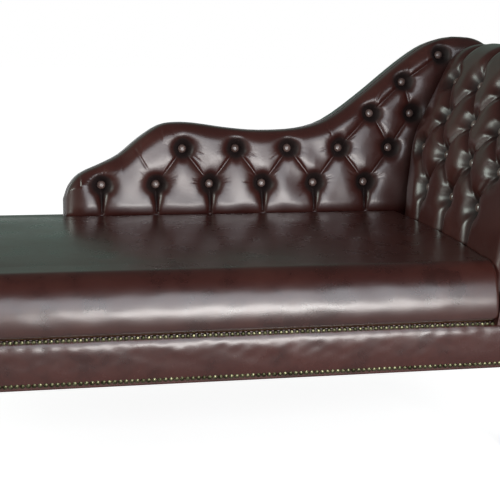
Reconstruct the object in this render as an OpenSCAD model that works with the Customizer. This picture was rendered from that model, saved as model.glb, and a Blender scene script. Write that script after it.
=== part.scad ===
// A fainting couch: a long plain seat, a buttoned back that swoops up, and a buttoned head rest rolled over at the top.
// Lengths are millimetres. x runs from the foot end to the head end, y from the front to the back, z up from the floor.

/* [Seat] */
// Length of the seat from the foot end to the head rest
seat_l = 1360; // [1200:10:1500]
// Depth of the seat from the front border to the back rest
seat_d = 602; // [560:2:660]
// Height of the seat above the floor
seat_top = 424; // [410:2:460]
// Width of the rolled seat edge in plan
edge_w = 62; // [50:2:80]
// How far the rolled edge swells past the border
edge_swell = 9; // [4:1:14]
// Rise of the crown in the middle of the seat
crown_rise = 6; // [0:1:15]
// Thickness of the leather
leather_t = 3; // [2:0.5:4]

/* [Base] */
// Height of the legs, glides included
leg_h = 195; // [150:5:210]
// Height of the rails and of the border over them
rail_h = 101; // [85:1:110]
// Thickness of the rails
rail_t = 28; // [22:1:34]
// Radius of the base's corners over the leather
corner_r = 25; // [15:1:40]
// Diameter of the rail dowels
dowel_w = 10; // [8:1:12]
// Diameter of the leg bolts
bolt_w = 8; // [6:1:10]
// Largest diameter of a leg
leg_w = 56; // [50:1:60]

/* [Nails] */
// Diameter of a nail's domed head
nail_w = 10.6; // [9:0.1:10.8]
// Spacing of the nails
nail_pitch = 11; // [11:0.5:20]
// Height of the domed head
nail_h = 3.2; // [2:0.2:5]
// Distance of the upper row from the top of the border
upper_nail_drop = 5.5; // [5.5:0.5:12]
// Distance of the lower row from the bottom of the border
lower_nail_rise = 10; // [6:0.5:16]

/* [Padding] */
// Thickness of the back and head padding at the top of a pillow
pad_t = 50; // [44:1:56]
// Depth of a button below the pillows
pit_d = 30; // [22:1:34]
// Depth of the pleats below the pillows
pleat_d = 16; // [8:1:20]
// Spacing of the buttons along a row
button_pitch = 132; // [120:1:140]
// Spacing of the rows of buttons
row_pitch = 85; // [76:1:90]
// Diameter of a covered button
button_w = 20; // [16:1:24]

/* [Back rest] */
// Length of the back rest from the head rest to its foot-side edge
back_l = 821; // [790:5:900]
// Lean of the back rest from upright, in degrees
back_lean = 8; // [4:1:12]
// Height by which the crest of the back stands over the rolled top
crest_rise = 10; // [4:1:20]
// Thickness of the back board
board_t = 12; // [9:1:18]
// Thickness of the back posts
post_t = 28; // [22:1:34]
// Width of a back post
post_w = 45; // [35:1:60]

/* [Head rest] */
// Lean of the lower face of the head rest from upright, in degrees
head_lean = 7; // [4:1:12]
// Lean of its upper face, in degrees
head_rake = 28; // [24:1:32]
// Height of the straight lower face above the seat
head_low_h = 145; // [130:5:160]
// Radius of the bend between the two faces
head_bend_r = 300; // [240:10:360]
// Length of the straight upper face
head_upper_l = 140; // [130:2:160]
// Radius of the rolled top over its padding
roll_r = 95; // [88:1:105]
// Thickness of the head rest from the pillows to the outer panel
head_t = 144; // [130:1:150]
// How far the front of the head rest stands past the border
head_over = 45; // [0:1:50]
// Spacing of the head rest's buttons along a row
head_button_pitch = 147; // [140:1:155]
// Spacing of its rows of buttons
head_row_pitch = 91; // [84:1:94]
// Thickness of the bent liner behind the head padding
liner_t = 6; // [4:1:9]
// Thickness of the ribs that carry the liner
rib_t = 18; // [15:1:25]
// Height of the stiffening slats between the ribs
slat_w = 60; // [40:1:70]
// Thickness of the front facing board
facing_t = 15; // [12:1:18]
// Inset of the front facing from the padding
facing_inset = 14; // [8:1:20]

/* [Springs] */
// Diameter of the spring wire
wire_d = 3.8; // [3:0.1:4.5]
// Width of a zigzag spring
spring_w = 50; // [40:1:60]
// Length of one zigzag
spring_wave = 52; // [45:1:60]

/* [Hidden] */

// Overrun of a cut past the face that it leaves, gap at a seat, and clearance round a pin
overrun = 1;
seat_gap = 0.3;
pin_gap = 0.1;
round_fn = 48;

// Heights of the base and the seat padding
rail_top = leg_h + rail_h;
seat_rise = seat_top - rail_top;

// Points of the head rest are [distance past the seat's end, height above the seat].
// Its face is four stretches: lower straight, bend, upper straight and roll, followed by arc length from the tuck.
tuck = 42;
ledge = 3;
foot_gap = 2 * ledge;
head_tuck = seat_rise - foot_gap;
// The rolled top's padding thins to its end, this many degrees short of the outer panel
roll_end_t = 30;
roll_tuck_turn = 9;
roll_wrap = 180 + acos((head_t - roll_r) / roll_r) - roll_tuck_turn;
function face_out(lean) = [-cos(lean), sin(lean)];
low_start = [-head_tuck * tan(head_lean), -head_tuck];
low_end = [head_low_h * tan(head_lean), head_low_h];
low_len = norm(low_end - low_start);
bend_centre = low_end - head_bend_r * face_out(head_lean);
bend_len = head_bend_r * PI * (head_rake - head_lean) / 180;
upper_start = bend_centre + head_bend_r * face_out(head_rake);
upper_end = upper_start + head_upper_l * [sin(head_rake), cos(head_rake)];
roll_centre = upper_end - roll_r * face_out(head_rake);
roll_start = low_len + bend_len + head_upper_l;
face_len = roll_start + roll_r * PI * roll_wrap / 180;
function face_lean(s) =
  s < low_len ? head_lean
  : s < low_len + bend_len ? head_lean + (s - low_len) / head_bend_r * 180 / PI
  : s < roll_start ? head_rake
  : head_rake + (s - roll_start) / roll_r * 180 / PI;
function face_point(s) =
  s < low_len ? low_start + s * [sin(head_lean), cos(head_lean)]
  : s < low_len + bend_len ? bend_centre + head_bend_r * face_out(face_lean(s))
  : s < roll_start ? upper_start + (s - low_len - bend_len) * [sin(head_rake), cos(head_rake)]
  : roll_centre + roll_r * face_out(face_lean(s));
function behind_face(s, depth) = face_point(s) - depth * face_out(face_lean(s));

// A strip behind the face, from one depth to another, carried down to the rails
bend_steps = 8;
strip_stops = concat([low_len], [for (k = [1:bend_steps]) low_len + bend_len * k / bend_steps], [roll_start]);
function at_height(depth, height) =
  let (foot = behind_face(low_len, depth))
  [foot.x - (foot.y - height) * tan(head_lean), height];
function strip(depth, height) = concat([at_height(depth, height)], [for (s = strip_stops) behind_face(s, depth)]);
function reversed(list) = [for (k = [len(list) - 1:-1:0]) list[k]];
module head_strip(near, far, height) {
  polygon(concat(strip(near, height), reversed(strip(far, height))));
}

// The base reaches just past the outer panel and the outside of the back
head_foot = at_height(head_t, -seat_rise).x;
base_l = seat_l + head_foot + ledge;
back_depth = pad_t + board_t + post_t + leather_t;
base_d = seat_d - seat_rise * tan(back_lean) + back_depth / cos(back_lean) + ledge;
frame_l = base_l - 2 * leather_t;
frame_d = base_d - 2 * leather_t;
frame_r = corner_r - leather_t;

// The whole couch is centred over the origin
scroll_margin = 8;
scroll_r = roll_r + scroll_margin;
overall_l = edge_swell + seat_l + roll_centre.x + scroll_r;
back_h = roll_centre.y + roll_r + crest_rise;
crest_back = seat_d + (back_h + pad_t * sin(back_lean)) * tan(back_lean) + back_depth * cos(back_lean);
front_over = max(edge_swell, head_over + nail_h);
overall_d = front_over + crest_back;
module centred() {
  translate([edge_swell - overall_l / 2, front_over - overall_d / 2, 0]) children();
}

// Plan of the base with rounded corners
module base_plan(length, depth, radius) {
  translate([radius, 0]) square([length - 2 * radius, depth]);
  translate([0, radius]) square([length, depth - 2 * radius]);
  for (x = [radius, length - radius], y = [radius, depth - radius])
    translate([x, y]) circle(r = radius, $fn = round_fn);
}
module frame_block() {
  translate([leather_t, leather_t, leg_h])
    linear_extrude(rail_h) base_plan(frame_l, frame_d, frame_r);
}

// Places of the legs, on the corner blocks
block_w = 92;
block_rise = 70;
leg_in = 46;
leg_places = [
  [leg_in, leg_in], [leg_in, base_d - leg_in], [base_l - leg_in, leg_in], [base_l - leg_in, base_d - leg_in]
];
leg_turns = [0, 270, 90, 180];

// Dowels join the foot and head rails to the long rails
dowel_l = 44;
dowel_drop_shares = [0.28, 0.72];
module dowel_set(width, length) {
  for (end = [0, 1], side = [0, 1], share = dowel_drop_shares)
    translate([
      end == 0 ? leather_t + rail_t / 2 : base_l - leather_t - rail_t / 2,
      side == 0 ? leather_t + rail_t - length / 2 : base_d - leather_t - rail_t - length / 2,
      leg_h + rail_h * share
    ])
      rotate([-90, 0, 0]) cylinder(d = width, h = length, $fn = round_fn);
}
// A rebate along the long rails takes the springs, their clips and the edge of the hessian
spring_bearing = 12;
clip_t = 2;
hessian_t = 1.5;
rebate_h = wire_d + clip_t + hessian_t;
spring_z = rail_top - rebate_h;
module long_rail(y) {
  difference() {
    intersection() {
      frame_block();
      translate([0, y, leg_h]) cube([base_l, rail_t, rail_h]);
    }
    translate([leather_t + rail_t, leather_t + rail_t - spring_bearing - wire_d, spring_z])
      cube([frame_l - 2 * rail_t, frame_d - 2 * rail_t + 2 * (spring_bearing + wire_d), rebate_h + overrun]);
    dowel_set(dowel_w + 2 * pin_gap, dowel_l + 2 * pin_gap);
  }
}
module end_rail(x) {
  difference() {
    translate([x, leather_t + rail_t, leg_h]) cube([rail_t, frame_d - 2 * rail_t, rail_h]);
    dowel_set(dowel_w + 2 * pin_gap, dowel_l + 2 * pin_gap);
  }
}
module front_rail() {
  color("burlywood") centred() long_rail(leather_t);
}
module rear_rail() {
  color("burlywood") centred() long_rail(base_d - leather_t - rail_t);
}
module foot_rail() {
  color("burlywood") centred() end_rail(leather_t);
}
module head_rail() {
  color("burlywood") centred() end_rail(base_l - leather_t - rail_t);
}
module rail_dowels() {
  color("tan") centred() dowel_set(dowel_w, dowel_l);
}

// Two flat rails across the base under the springs, between the feet of the back posts
cross_w = 70;
cross_t = 24;
cross_step_shares = [-0.9, 2.75];
module cross_rails() {
  color("burlywood") centred()
    for (share = cross_step_shares)
      translate([seat_l + post_x(share) - cross_w / 2, leather_t + rail_t, leg_h + block_rise - cross_t])
        cube([cross_w, frame_d - 2 * rail_t, cross_t]);
}

// Triangular blocks glued into the corners; each carries a leg's bolt
module at_corners() {
  for (k = [0:3])
    translate([leg_places[k].x, leg_places[k].y, 0]) rotate([0, 0, leg_turns[k]]) children();
}
block_in = leg_in - leather_t - rail_t;
module corner_blocks() {
  color("burlywood") centred() at_corners()
    translate([0, 0, leg_h])
      difference() {
        linear_extrude(block_rise)
          translate([-block_in, -block_in]) polygon([[0, 0], [block_w, 0], [0, block_w]]);
        translate([0, 0, -overrun]) cylinder(d = bolt_w + 2 * pin_gap, h = block_rise + 2 * overrun, $fn = round_fn);
      }
}

// A turned leg: square shoulder, bead, swelling vase, ring and toe
bolt_in = 45;
glide_t = 5;
leg_body_h = leg_h - glide_t;
leg_shares = [
  [0.58, 0], [0.66, 0.03], [0.60, 0.10], [0.50, 0.16], [0.52, 0.19], [0.62, 0.22], [0.52, 0.25],
  [0.60, 0.36], [0.78, 0.52], [0.90, 0.66], [0.86, 0.74], [0.66, 0.79], [0.62, 0.81],
  [0.94, 0.84], [1.00, 0.88], [0.94, 0.92], [0.80, 0.94], [0.80, 1.00]
];
module leg(place) {
  color("#3a1d12") centred()
    translate([place.x, place.y, glide_t])
      difference() {
        rotate_extrude($fn = round_fn)
          polygon(concat(
            [[0, 0]],
            [for (share = leg_shares) [share.x * leg_w / 2, share.y * leg_body_h]],
            [[0, leg_body_h]]
          ));
        translate([0, 0, leg_body_h - bolt_in - pin_gap])
          cylinder(d = bolt_w + 2 * pin_gap, h = bolt_in + pin_gap + overrun, $fn = round_fn);
      }
}
module leg_foot_front() {
  leg(leg_places[0]);
}
module leg_foot_rear() {
  leg(leg_places[1]);
}
module leg_head_front() {
  leg(leg_places[2]);
}
module leg_head_rear() {
  leg(leg_places[3]);
}
nut_t = 7;
nut_w = 15;
washer_t = 2;
washer_w = 24;
module leg_bolts() {
  color("silver") centred() at_corners()
    translate([0, 0, leg_h - bolt_in])
      cylinder(d = bolt_w, h = bolt_in + block_rise + washer_t + nut_t + bolt_w / 2, $fn = round_fn);
}
module leg_nuts() {
  color("silver") centred() at_corners()
    translate([0, 0, leg_h + block_rise])
      difference() {
        union() {
          cylinder(d = washer_w, h = washer_t, $fn = round_fn);
          translate([0, 0, washer_t]) cylinder(d = nut_w, h = nut_t, $fn = 6);
        }
        translate([0, 0, -overrun])
          cylinder(d = bolt_w + 2 * pin_gap, h = washer_t + nut_t + 2 * overrun, $fn = round_fn);
      }
}
glide_shares = [[0.46, 0], [0.58, 0.35], [0.58, 1]];
module leg_glides() {
  color("dimgray") centred() at_corners()
    rotate_extrude($fn = round_fn)
      polygon(concat([[0, 0]], [for (share = glide_shares) [share.x * leg_w / 2, share.y * glide_t]], [[0, glide_t]]));
}

// The back rest is drawn on its leaning plane: x along the couch, y up the lean, z towards the sitter.
// Heights over the seat are taken at the face of the board, where z = 0.
module on_back() {
  translate([seat_l, seat_d, seat_top]) rotate([90 - back_lean, 0, 0]) translate([0, 0, -pad_t]) children();
}
function up_lean(height) = (height + pad_t * sin(back_lean)) / cos(back_lean);

// Crest of the back as [share of its length, share of its height], chosen along the photographed swoop
crest_shares = [
  [0, 0.075], [0.012, 0.15], [0.037, 0.215], [0.085, 0.267], [0.132, 0.322], [0.18, 0.413], [0.229, 0.485],
  [0.265, 0.499], [0.311, 0.495], [0.394, 0.468], [0.474, 0.454], [0.574, 0.468], [0.642, 0.516], [0.728, 0.652],
  [0.833, 0.845], [0.893, 0.939], [0.938, 0.982], [0.975, 0.996]
];
crest_steps = 3;
crest_span = back_l + roll_centre.x;
function crest_knot(k) = [crest_shares[k].x * crest_span - back_l, crest_shares[k].y * back_h];
function crest_slope(k) =
  let (a = crest_knot(max(k - 1, 0)), b = crest_knot(min(k + 1, len(crest_shares) - 1)))
  (b.y - a.y) / (b.x - a.x);
function hermite(a, b, slope_a, slope_b, t) =
  let (run = b.x - a.x)
  [
    a.x + run * t,
    a.y * (1 + 2 * t) * (1 - t) ^ 2 + b.y * t ^ 2 * (3 - 2 * t)
      + slope_a * run * t * (1 - t) ^ 2 - slope_b * run * t ^ 2 * (1 - t)
  ];
crest = concat(
  [for (k = [0:len(crest_shares) - 2], n = [0:crest_steps - 1])
    hermite(crest_knot(k), crest_knot(k + 1), crest_slope(k), crest_slope(k + 1), n / crest_steps)],
  [crest_knot(len(crest_shares) - 1)]
);

// The end of the back follows the rolled top round to the neck and then the outer panel down to the base
scroll_top_turn = 90;
scroll_steps = 16;
neck_turn = acos((head_t - roll_r) / scroll_r);
neck_step_turn = 4;
scroll_neck_turn = neck_step_turn - head_rake - neck_turn;
scroll = [for (k = [0:scroll_steps])
  let (turn = scroll_top_turn + (scroll_neck_turn - scroll_top_turn) * k / scroll_steps)
  roll_centre + scroll_r * [cos(turn), sin(turn)]];
scroll_neck = roll_start - scroll_r * sin(neck_turn);
panel_stops = concat([scroll_neck], [for (k = [bend_steps:-1:0]) low_len + bend_len * k / bend_steps]);
back_drop = seat_rise - (back_depth - pad_t) * sin(back_lean) - ledge;
head_drop = seat_rise - ledge;
panel_edge = concat([for (s = panel_stops) behind_face(s, head_t)], [at_height(head_t, -back_drop)]);
// Radius of the batten in the rolled top; the outer panel runs up past the neck to just under the roll's padding
batten_r = roll_r - pad_t;
panel_top = roll_start - (batten_r + roll_end_t) * sin(roll_wrap - 180) - seat_gap;
panel_tip = behind_face(panel_top, head_t);
back_edge = concat([[-back_l, -back_drop]], crest, scroll, panel_edge);
function edge_turn(k) =
  let (a = back_edge[max(k - 1, 0)], b = back_edge[min(k + 1, len(back_edge) - 1)])
  (b - a) / norm(b - a);
function back_outline(inset, drop = 0) = [for (k = [0:len(back_edge) - 1])
  let (along = edge_turn(k), p = back_edge[k] + inset * [along.y, -along.x])
  [p.x, up_lean(p.y) - (k == 0 || k == len(back_edge) - 1 ? drop : 0)]];

// Posts stand inside the rear rail, crank back over it and lean behind the board, between the columns of buttons
first_button_in = 87;
first_button_up = 66;
first_button = [first_button_in - back_l, first_button_up];
post_step_shares = [-0.25, 1.75, 3.75, 4.75];
post_foot = leg_h + ledge;
post_margin = 24;
post_knee = 30;
rail_in_y = base_d - leather_t - rail_t;
function post_x(share) = first_button.x + button_pitch * share;
// The posts stand at these pitches as far as the corner block at the head
post_end = base_l - seat_l - leather_t - rail_t - block_w;
post_shares = [for (share = post_step_shares) if (post_x(share) + post_w / 2 < post_end) share];
function lean_y(height, depth) =
  seat_d + height * tan(back_lean) + (pad_t + depth) / cos(back_lean);
module back_post(share) {
  x = post_x(share);
  top = min(lookup(x - post_w / 2, crest), lookup(x + post_w / 2, crest)) - post_margin;
  translate([seat_l + x + post_w / 2, 0, 0])
    rotate([90, 0, -90]) mirror([1, 0, 0])
      linear_extrude(post_w)
        polygon([
          [rail_in_y - post_t, post_foot],
          [rail_in_y, post_foot],
          [rail_in_y, rail_top + seat_gap],
          [lean_y(rail_top + seat_gap - seat_top, board_t + post_t), rail_top + seat_gap],
          [lean_y(top, board_t + post_t), seat_top + top],
          [lean_y(top, board_t), seat_top + top],
          [lean_y(-back_drop - foot_gap, board_t), seat_top - back_drop - foot_gap],
          [rail_in_y - post_t, rail_top - post_knee]
        ]);
}
module back_posts() {
  color("burlywood") centred() for (share = post_shares) back_post(share);
}

// Buttons of the back: two even rows up to the head rest, then those that climb the swoop.
// The rows go in pitches from the first button, the climbing ones by shares of the crest's length and height.
row_start_shares = [0, 1.5];
climb_shares = [[0.748, 0.545], [0.853, 0.545], [0.832, 0.725], [0.929, 0.882]];
function row_place(row, k) =
  [first_button.x + (row_start_shares[row] + k) * button_pitch, up_lean(first_button.y + row * row_pitch)];
function row_last(row) = floor((back_l - first_button_in) / button_pitch - row_start_shares[row]);
climb_places = [for (share = climb_shares) [share.x * crest_span - back_l, up_lean(share.y * back_h)]];
back_button_places = concat([for (row = [0:1], k = [0:row_last(row)]) row_place(row, k)], climb_places);
// Pleats join near buttons of different rows, run down to the seat from the first row,
// and run up over the crest from each button with none above it on its foot side.
pleat_reach_shares = [0.95, 0.5];
function pleated(low, high) =
  norm(high - low) < pleat_reach_shares.x * button_pitch && high.y - low.y > pleat_reach_shares.y * row_pitch;
crest_line = concat(crest, [for (p = scroll) if (p.y > roll_centre.y) p]);
function crest_height(x) = lookup(x, crest_line);
back_pleats = concat(
  [for (low = back_button_places, high = back_button_places) if (pleated(low, high)) [low, high]],
  [for (k = [0:row_last(0)]) [row_place(0, k), [row_place(0, k).x, up_lean(-tuck)]]],
  [for (low = back_button_places)
    if (len([for (high = back_button_places) if (high.x < low.x && pleated(low, high)) 1]) == 0)
      [low, [low.x, up_lean(crest_height(low.x))]]]
);

// The tufting at a point: a rounded fall to the nearest pleat, and a pit at the nearest button
pillow_reach = 50;
pit_reach = 30;
function line_dist(p, a, b) =
  let (run = b - a, t = max(0, min(1, (p - a) * run / (run * run))))
  norm(p - a - run * t);
function pleat_fall(p, pleats) =
  let (near = min(1, min([for (line = pleats) line_dist(p, line[0], line[1])]) / pillow_reach))
  pleat_d * (1 - sqrt(1 - (1 - near) ^ 2));
function pit_fall(p, buttons) = pit_d * exp(-(min([for (b = buttons) norm(p - b)]) / pit_reach) ^ 4);
function rounded(dist, radius) = sqrt(1 - (1 - min(1, max(0, dist) / radius)) ^ 2);

// A padded panel is a grid of points in front of a plain grid; a cell that a tie passes through is left open
hole_half = 4;
function cell_near(place, corners, count) = [for (k = [0:count - 1]) if (place >= corners[k] && place < corners[k + 1]) k][0];
function snap(p, i, j, cells, places) =
  let (hits = [for (k = [0:len(cells) - 1])
    let (di = i - cells[k][0], dj = j - cells[k][1])
    if (di >= 0 && di <= 1 && dj >= 0 && dj <= 1)
      places[k] + hole_half * [2 * di - 1, 2 * dj - 1]])
  len(hits) > 0 ? hits[0] : p;
function quad_faces(quad) = [[quad[0], quad[1], quad[2]], [quad[0], quad[2], quad[3]]];
function split_low(quad, front) =
  front[quad[0]] + front[quad[2]] < front[quad[1]] + front[quad[3]]
  ? quad_faces(quad)
  : quad_faces([quad[1], quad[2], quad[3], quad[0]]);
function panel_faces(nu, nv, cells, heights) =
  let (
    half = (nu + 1) * (nv + 1),
    shut = [for (i = [0:nu - 1]) [for (j = [0:nv - 1])
      len([for (cell = cells) if (cell[0] == i && cell[1] == j) 1]) == 0]]
  )
  [for (i = [0:nu - 1], j = [0:nv - 1]) if (shut[i][j])
    let (a = i * (nv + 1) + j, b = a + 1, c = a + nv + 2, d = a + nv + 1)
    each concat(
      split_low([a, b, c, d], heights),
      quad_faces([a + half, d + half, c + half, b + half]),
      i == 0 || !shut[i - 1][j] ? quad_faces([a + half, b + half, b, a]) : [],
      i == nu - 1 || !shut[i + 1][j] ? quad_faces([d, c, c + half, d + half]) : [],
      j == 0 || !shut[i][j - 1] ? quad_faces([a + half, a, d, d + half]) : [],
      j == nv - 1 || !shut[i][j + 1] ? quad_faces([c + half, c, b, b + half]) : []
    )];

// Back padding: full behind the seat, rounded at the crest and the foot-side edge, cut along the outer panel
// and carried on behind the end of the rolled top
pad_rim = 7;
back_pad_inset = 2;
crest_round = 34;
back_cols = 45;
back_rows = 12;
scroll_pad_share = 0.8;
back_pad_end = roll_centre.x + scroll_pad_share * scroll_r;
panel_margin = 9;
panel_line = concat(
  reversed(panel_edge),
  [panel_tip],
  reversed([for (p = scroll) if (p.y < roll_centre.y && p.x > panel_tip.x) p])
);
function back_low(x) =
  x < at_height(head_t, -tuck).x - panel_margin ? -tuck
  : x < panel_tip.x && x > panel_tip.x - 2 * panel_margin ? panel_tip.y + panel_margin
  : max(-tuck, lookup(x + panel_margin, panel_line) + panel_margin);
function back_pad_x(i) = -back_l + back_pad_inset + (back_pad_end + back_l - back_pad_inset) * i / back_cols;
function back_pad_top(x) = up_lean(crest_height(x) - back_pad_inset);
function back_pad_point(i, j) =
  let (x = back_pad_x(i), low = up_lean(back_low(x)))
  [x, low + (back_pad_top(x) - low) * j / back_rows];
back_cells = [for (place = back_button_places)
  let (
    i = floor((place.x - back_pad_x(0)) / (back_pad_x(1) - back_pad_x(0))),
    low = up_lean(back_low(place.x))
  )
  [i, floor((place.y - low) / (back_pad_top(place.x) - low) * back_rows)]];
function back_thick(p) =
  let (edge = min(back_pad_top(p.x) - p.y, p.x + back_l - back_pad_inset))
  pad_rim
    + (pad_t - pad_rim - max(pleat_fall(p, back_pleats), pit_fall(p, back_button_places))) * rounded(edge, crest_round)
    - max(0, -p.y) * tan(back_lean);
module back_pad() {
  spots = [for (i = [0:back_cols], j = [0:back_rows])
    snap(back_pad_point(i, j), i, j, back_cells, back_button_places)];
  heights = [for (p = spots) back_thick(p)];
  color("#4a1f1a") centred() on_back()
    polyhedron(
      points = concat(
        [for (k = [0:len(spots) - 1]) [spots[k].x, spots[k].y, heights[k]]],
        [for (p = spots) [p.x, p.y, seat_gap]]
      ),
      faces = panel_faces(back_cols, back_rows, back_cells, heights)
    );
}

// Covered button with a domed top, tied through the padding to a washer behind the board
button_h = 8;
button_lift = 3.5;
tie_w = 3;
tie_hole_w = 5;
tie_washer_w = 18;
tie_washer_t = 2;
button_shares = [[0.55, 0], [1, 0.22], [0.98, 0.42], [0.84, 0.7], [0.55, 0.92], [0.25, 1]];
module button() {
  rotate_extrude($fn = 24)
    polygon(concat([[0, 0]], [for (share = button_shares) [share.x * button_w / 2, share.y * button_h]], [[0, button_h]]));
}
button_seat = pad_t - pit_d + button_lift;
module tie(backing_t) {
  translate([0, 0, -backing_t - seat_gap - tie_washer_t]) {
    cylinder(d = tie_washer_w, h = tie_washer_t, $fn = round_fn);
    cylinder(d = tie_w, h = tie_washer_t + seat_gap + backing_t + button_seat, $fn = round_fn);
  }
}
module back_buttons() {
  color("#5a2820") centred() on_back()
    for (place = back_button_places) translate([place.x, place.y, button_seat]) button();
}
module back_ties() {
  color("linen") centred() on_back()
    for (place = back_button_places) translate([place.x, place.y, 0]) tie(board_t);
}
module back_board() {
  color("burlywood") centred() on_back()
    difference() {
      translate([0, 0, -board_t]) linear_extrude(board_t) polygon(back_outline(leather_t + seat_gap));
      for (place = back_button_places)
        translate([place.x, place.y, -board_t - overrun])
          cylinder(d = tie_hole_w, h = board_t + 2 * overrun, $fn = round_fn);
    }
}

// The outside of the back: a leather shell over the board's edge and the posts, open towards the padding
back_shell_d = board_t + post_t + leather_t;
module outside_back() {
  color("#43201a") centred() on_back()
    difference() {
      translate([0, 0, -back_shell_d]) linear_extrude(back_shell_d) polygon(back_outline(0));
      translate([0, 0, leather_t - back_shell_d])
        linear_extrude(back_shell_d) polygon(back_outline(leather_t, overrun));
    }
}

// Head rest: profiles are drawn across the couch and run back to the leaning back rest
module head_extrude(from_y, to_y) {
  translate([seat_l, to_y, seat_top]) rotate([90, 0, 0]) linear_extrude(to_y - from_y) children();
}
back_reach = 2 * back_h;
module behind_back(depth) {
  on_back() translate([-back_l, -back_reach, pad_t - depth - back_reach]) cube([2 * back_l, 2 * back_reach, back_reach]);
}
rib_near = pad_t + liner_t;
rib_far = head_t - leather_t;
head_first_y = 90;
head_last_in = 60;
rib_last_in = 90;
rib_last = floor(2 * ((seat_d - rib_last_in - head_first_y) / head_button_pitch - 1 / 4));
rib_steps = [0, floor(rib_last / 2), rib_last];
rib_foot = 24;
facing_y = -head_over;
facing_front = facing_y + leather_t;
head_front = facing_front + facing_t;
head_clear = 2;
function rib_y(step) = head_first_y + head_button_pitch * (step / 2 + 1 / 4) - rib_t / 2;
rail_in_x = head_foot + ledge - leather_t - rail_t;
module head_rib() {
  foot_x = rail_in_x - rib_foot;
  foot_y = -seat_rise - rail_h + block_rise + ledge;
  far_side = strip(rib_far, -seat_rise + seat_gap);
  difference() {
    polygon(concat(
      [[foot_x, foot_y], [foot_x, -seat_rise + seat_gap]],
      strip(rib_near + seat_gap, -seat_rise + seat_gap),
      [roll_centre, behind_face(panel_top, rib_far)],
      [for (k = [len(far_side) - 2:-1:0]) far_side[k]],
      [[rail_in_x, -seat_rise + seat_gap], [rail_in_x, foot_y]]
    ));
    translate(roll_centre) circle(r = batten_r + seat_gap, $fn = round_fn);
  }
}
module head_ribs() {
  color("burlywood") centred()
    for (step = rib_steps) head_extrude(rib_y(step), rib_y(step) + rib_t) head_rib();
}

// Slats from the front facing to the first rib and between the ribs, laid along the strip under the liner
slat_t = 18;
slat_shares = [0.21, 0.5, 0.79];
slat_spans = [
  [head_front + seat_gap, rib_y(rib_steps[0])],
  [rib_y(rib_steps[0]) + rib_t, rib_y(rib_steps[1])],
  [rib_y(rib_steps[1]) + rib_t, rib_y(rib_steps[2])]
];
module head_slats() {
  color("burlywood") centred()
    for (span = slat_spans, share = slat_shares) {
      s = roll_start * share;
      spot = behind_face(s, rib_near + seat_gap);
      head_extrude(span[0], span[1])
        translate(spot) rotate(-face_lean(s)) translate([ledge, -slat_w / 2]) square([slat_t, slat_w]);
    }
}
module head_liner() {
  color("tan") centred()
    difference() {
      head_extrude(head_front + seat_gap, base_d) head_strip(pad_t, pad_t + liner_t, -head_drop);
      behind_back(-seat_gap);
      for (place = head_button_places)
        at_face(place) translate([0, 0, -head_t]) cylinder(d = tie_hole_w, h = 2 * head_t, $fn = round_fn);
      head_extrude(facing_y, base_d) translate(roll_centre) circle(r = batten_r + seat_gap, $fn = round_fn);
    }
}
module top_roll() {
  color("burlywood") centred()
    difference() {
      head_extrude(head_front + seat_gap, base_d) translate(roll_centre) circle(r = batten_r, $fn = round_fn);
      behind_back(-seat_gap);
    }
}

// Buttons of the head rest: staggered rows up the face, as [distance from the front, arc length from the tuck]
head_row_start = 86;
head_row_count = 4;
function head_start_share(row) = row % 2 == 0 ? 0.5 : 0;
function head_last(row) =
  floor((seat_d - head_last_in - head_first_y) / head_button_pitch - head_start_share(row));
function row_buttons(row) = [for (k = [0:head_last(row)])
  [head_first_y + head_button_pitch * (k + head_start_share(row)), head_tuck + head_row_start + row * head_row_pitch]];
head_button_places = [for (row = [0:head_row_count - 1]) each row_buttons(row)];
head_pleats = concat(
  [for (row = [0:head_row_count - 2], a = row_buttons(row), b = row_buttons(row + 1))
    if (abs(a.x - b.x) < head_button_pitch) [a, b]],
  [for (a = row_buttons(0)) [a, [a.x, 0]]],
  [for (a = row_buttons(head_row_count - 1)) [a, [a.x, face_len]]]
);
// Places a child on the face of the liner, its z axis towards the sitter
module at_face(place) {
  spot = behind_face(place.y, pad_t);
  translate([seat_l + spot.x, place.x, seat_top + spot.y])
    rotate([0, face_lean(place.y), 0]) mirror([1, 0, 0]) rotate([0, 90, 0]) children();
}
head_pad_rows = 29;
head_pad_cols = 17;
head_round = 30;
rear_round = 180;
roll_thin_turn = 110;
liner_gap = 6 * seat_gap;
head_pad_front = head_front + seat_gap;
front_rim = pad_t - facing_inset;
back_rim = 10;
function head_pad_back(s) =
  seat_d + tan(back_lean) * min(face_point(s).y, behind_face(s, pad_t).y) - head_clear;
function head_pad_y(i, s) = head_pad_back(s) + (head_pad_front - head_pad_back(s)) * i / head_pad_cols;
function head_pad_s(j) = face_len * j / head_pad_rows;
head_cells = [for (place = head_button_places)
  [
    floor((head_pad_back(place.y) - place.x) / (head_pad_back(place.y) - head_pad_front) * head_pad_cols),
    floor(place.y / face_len * head_pad_rows)
  ]];
function pad_full(s) =
  let (turn = max(0, face_lean(s) - head_rake - roll_thin_turn) / (roll_wrap - roll_thin_turn))
  pad_t + (roll_end_t - pad_t) * turn - max(0, head_tuck - s) * tan(head_lean);
function rim_up(rim, full, dist, radius) =
  min(rim, full) + max(0, full - rim) * rounded(dist, radius);
function head_thick(p) =
  let (
    near = p.x - head_pad_front,
    far = head_pad_back(p.y) - p.x,
    fade = max(0, min(1, (face_lean(p.y) - head_rake) / roll_thin_turn)),
    full = pad_full(p.y),
    pull = (1 - fade) * rounded(min(near, far), head_round)
  )
  min(
    min(rim_up(front_rim, full, near, head_round), rim_up(back_rim, full, far, rear_round))
      - pull * pleat_fall(p, head_pleats),
    full - pull * pit_fall(p, head_button_places)
  );
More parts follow.
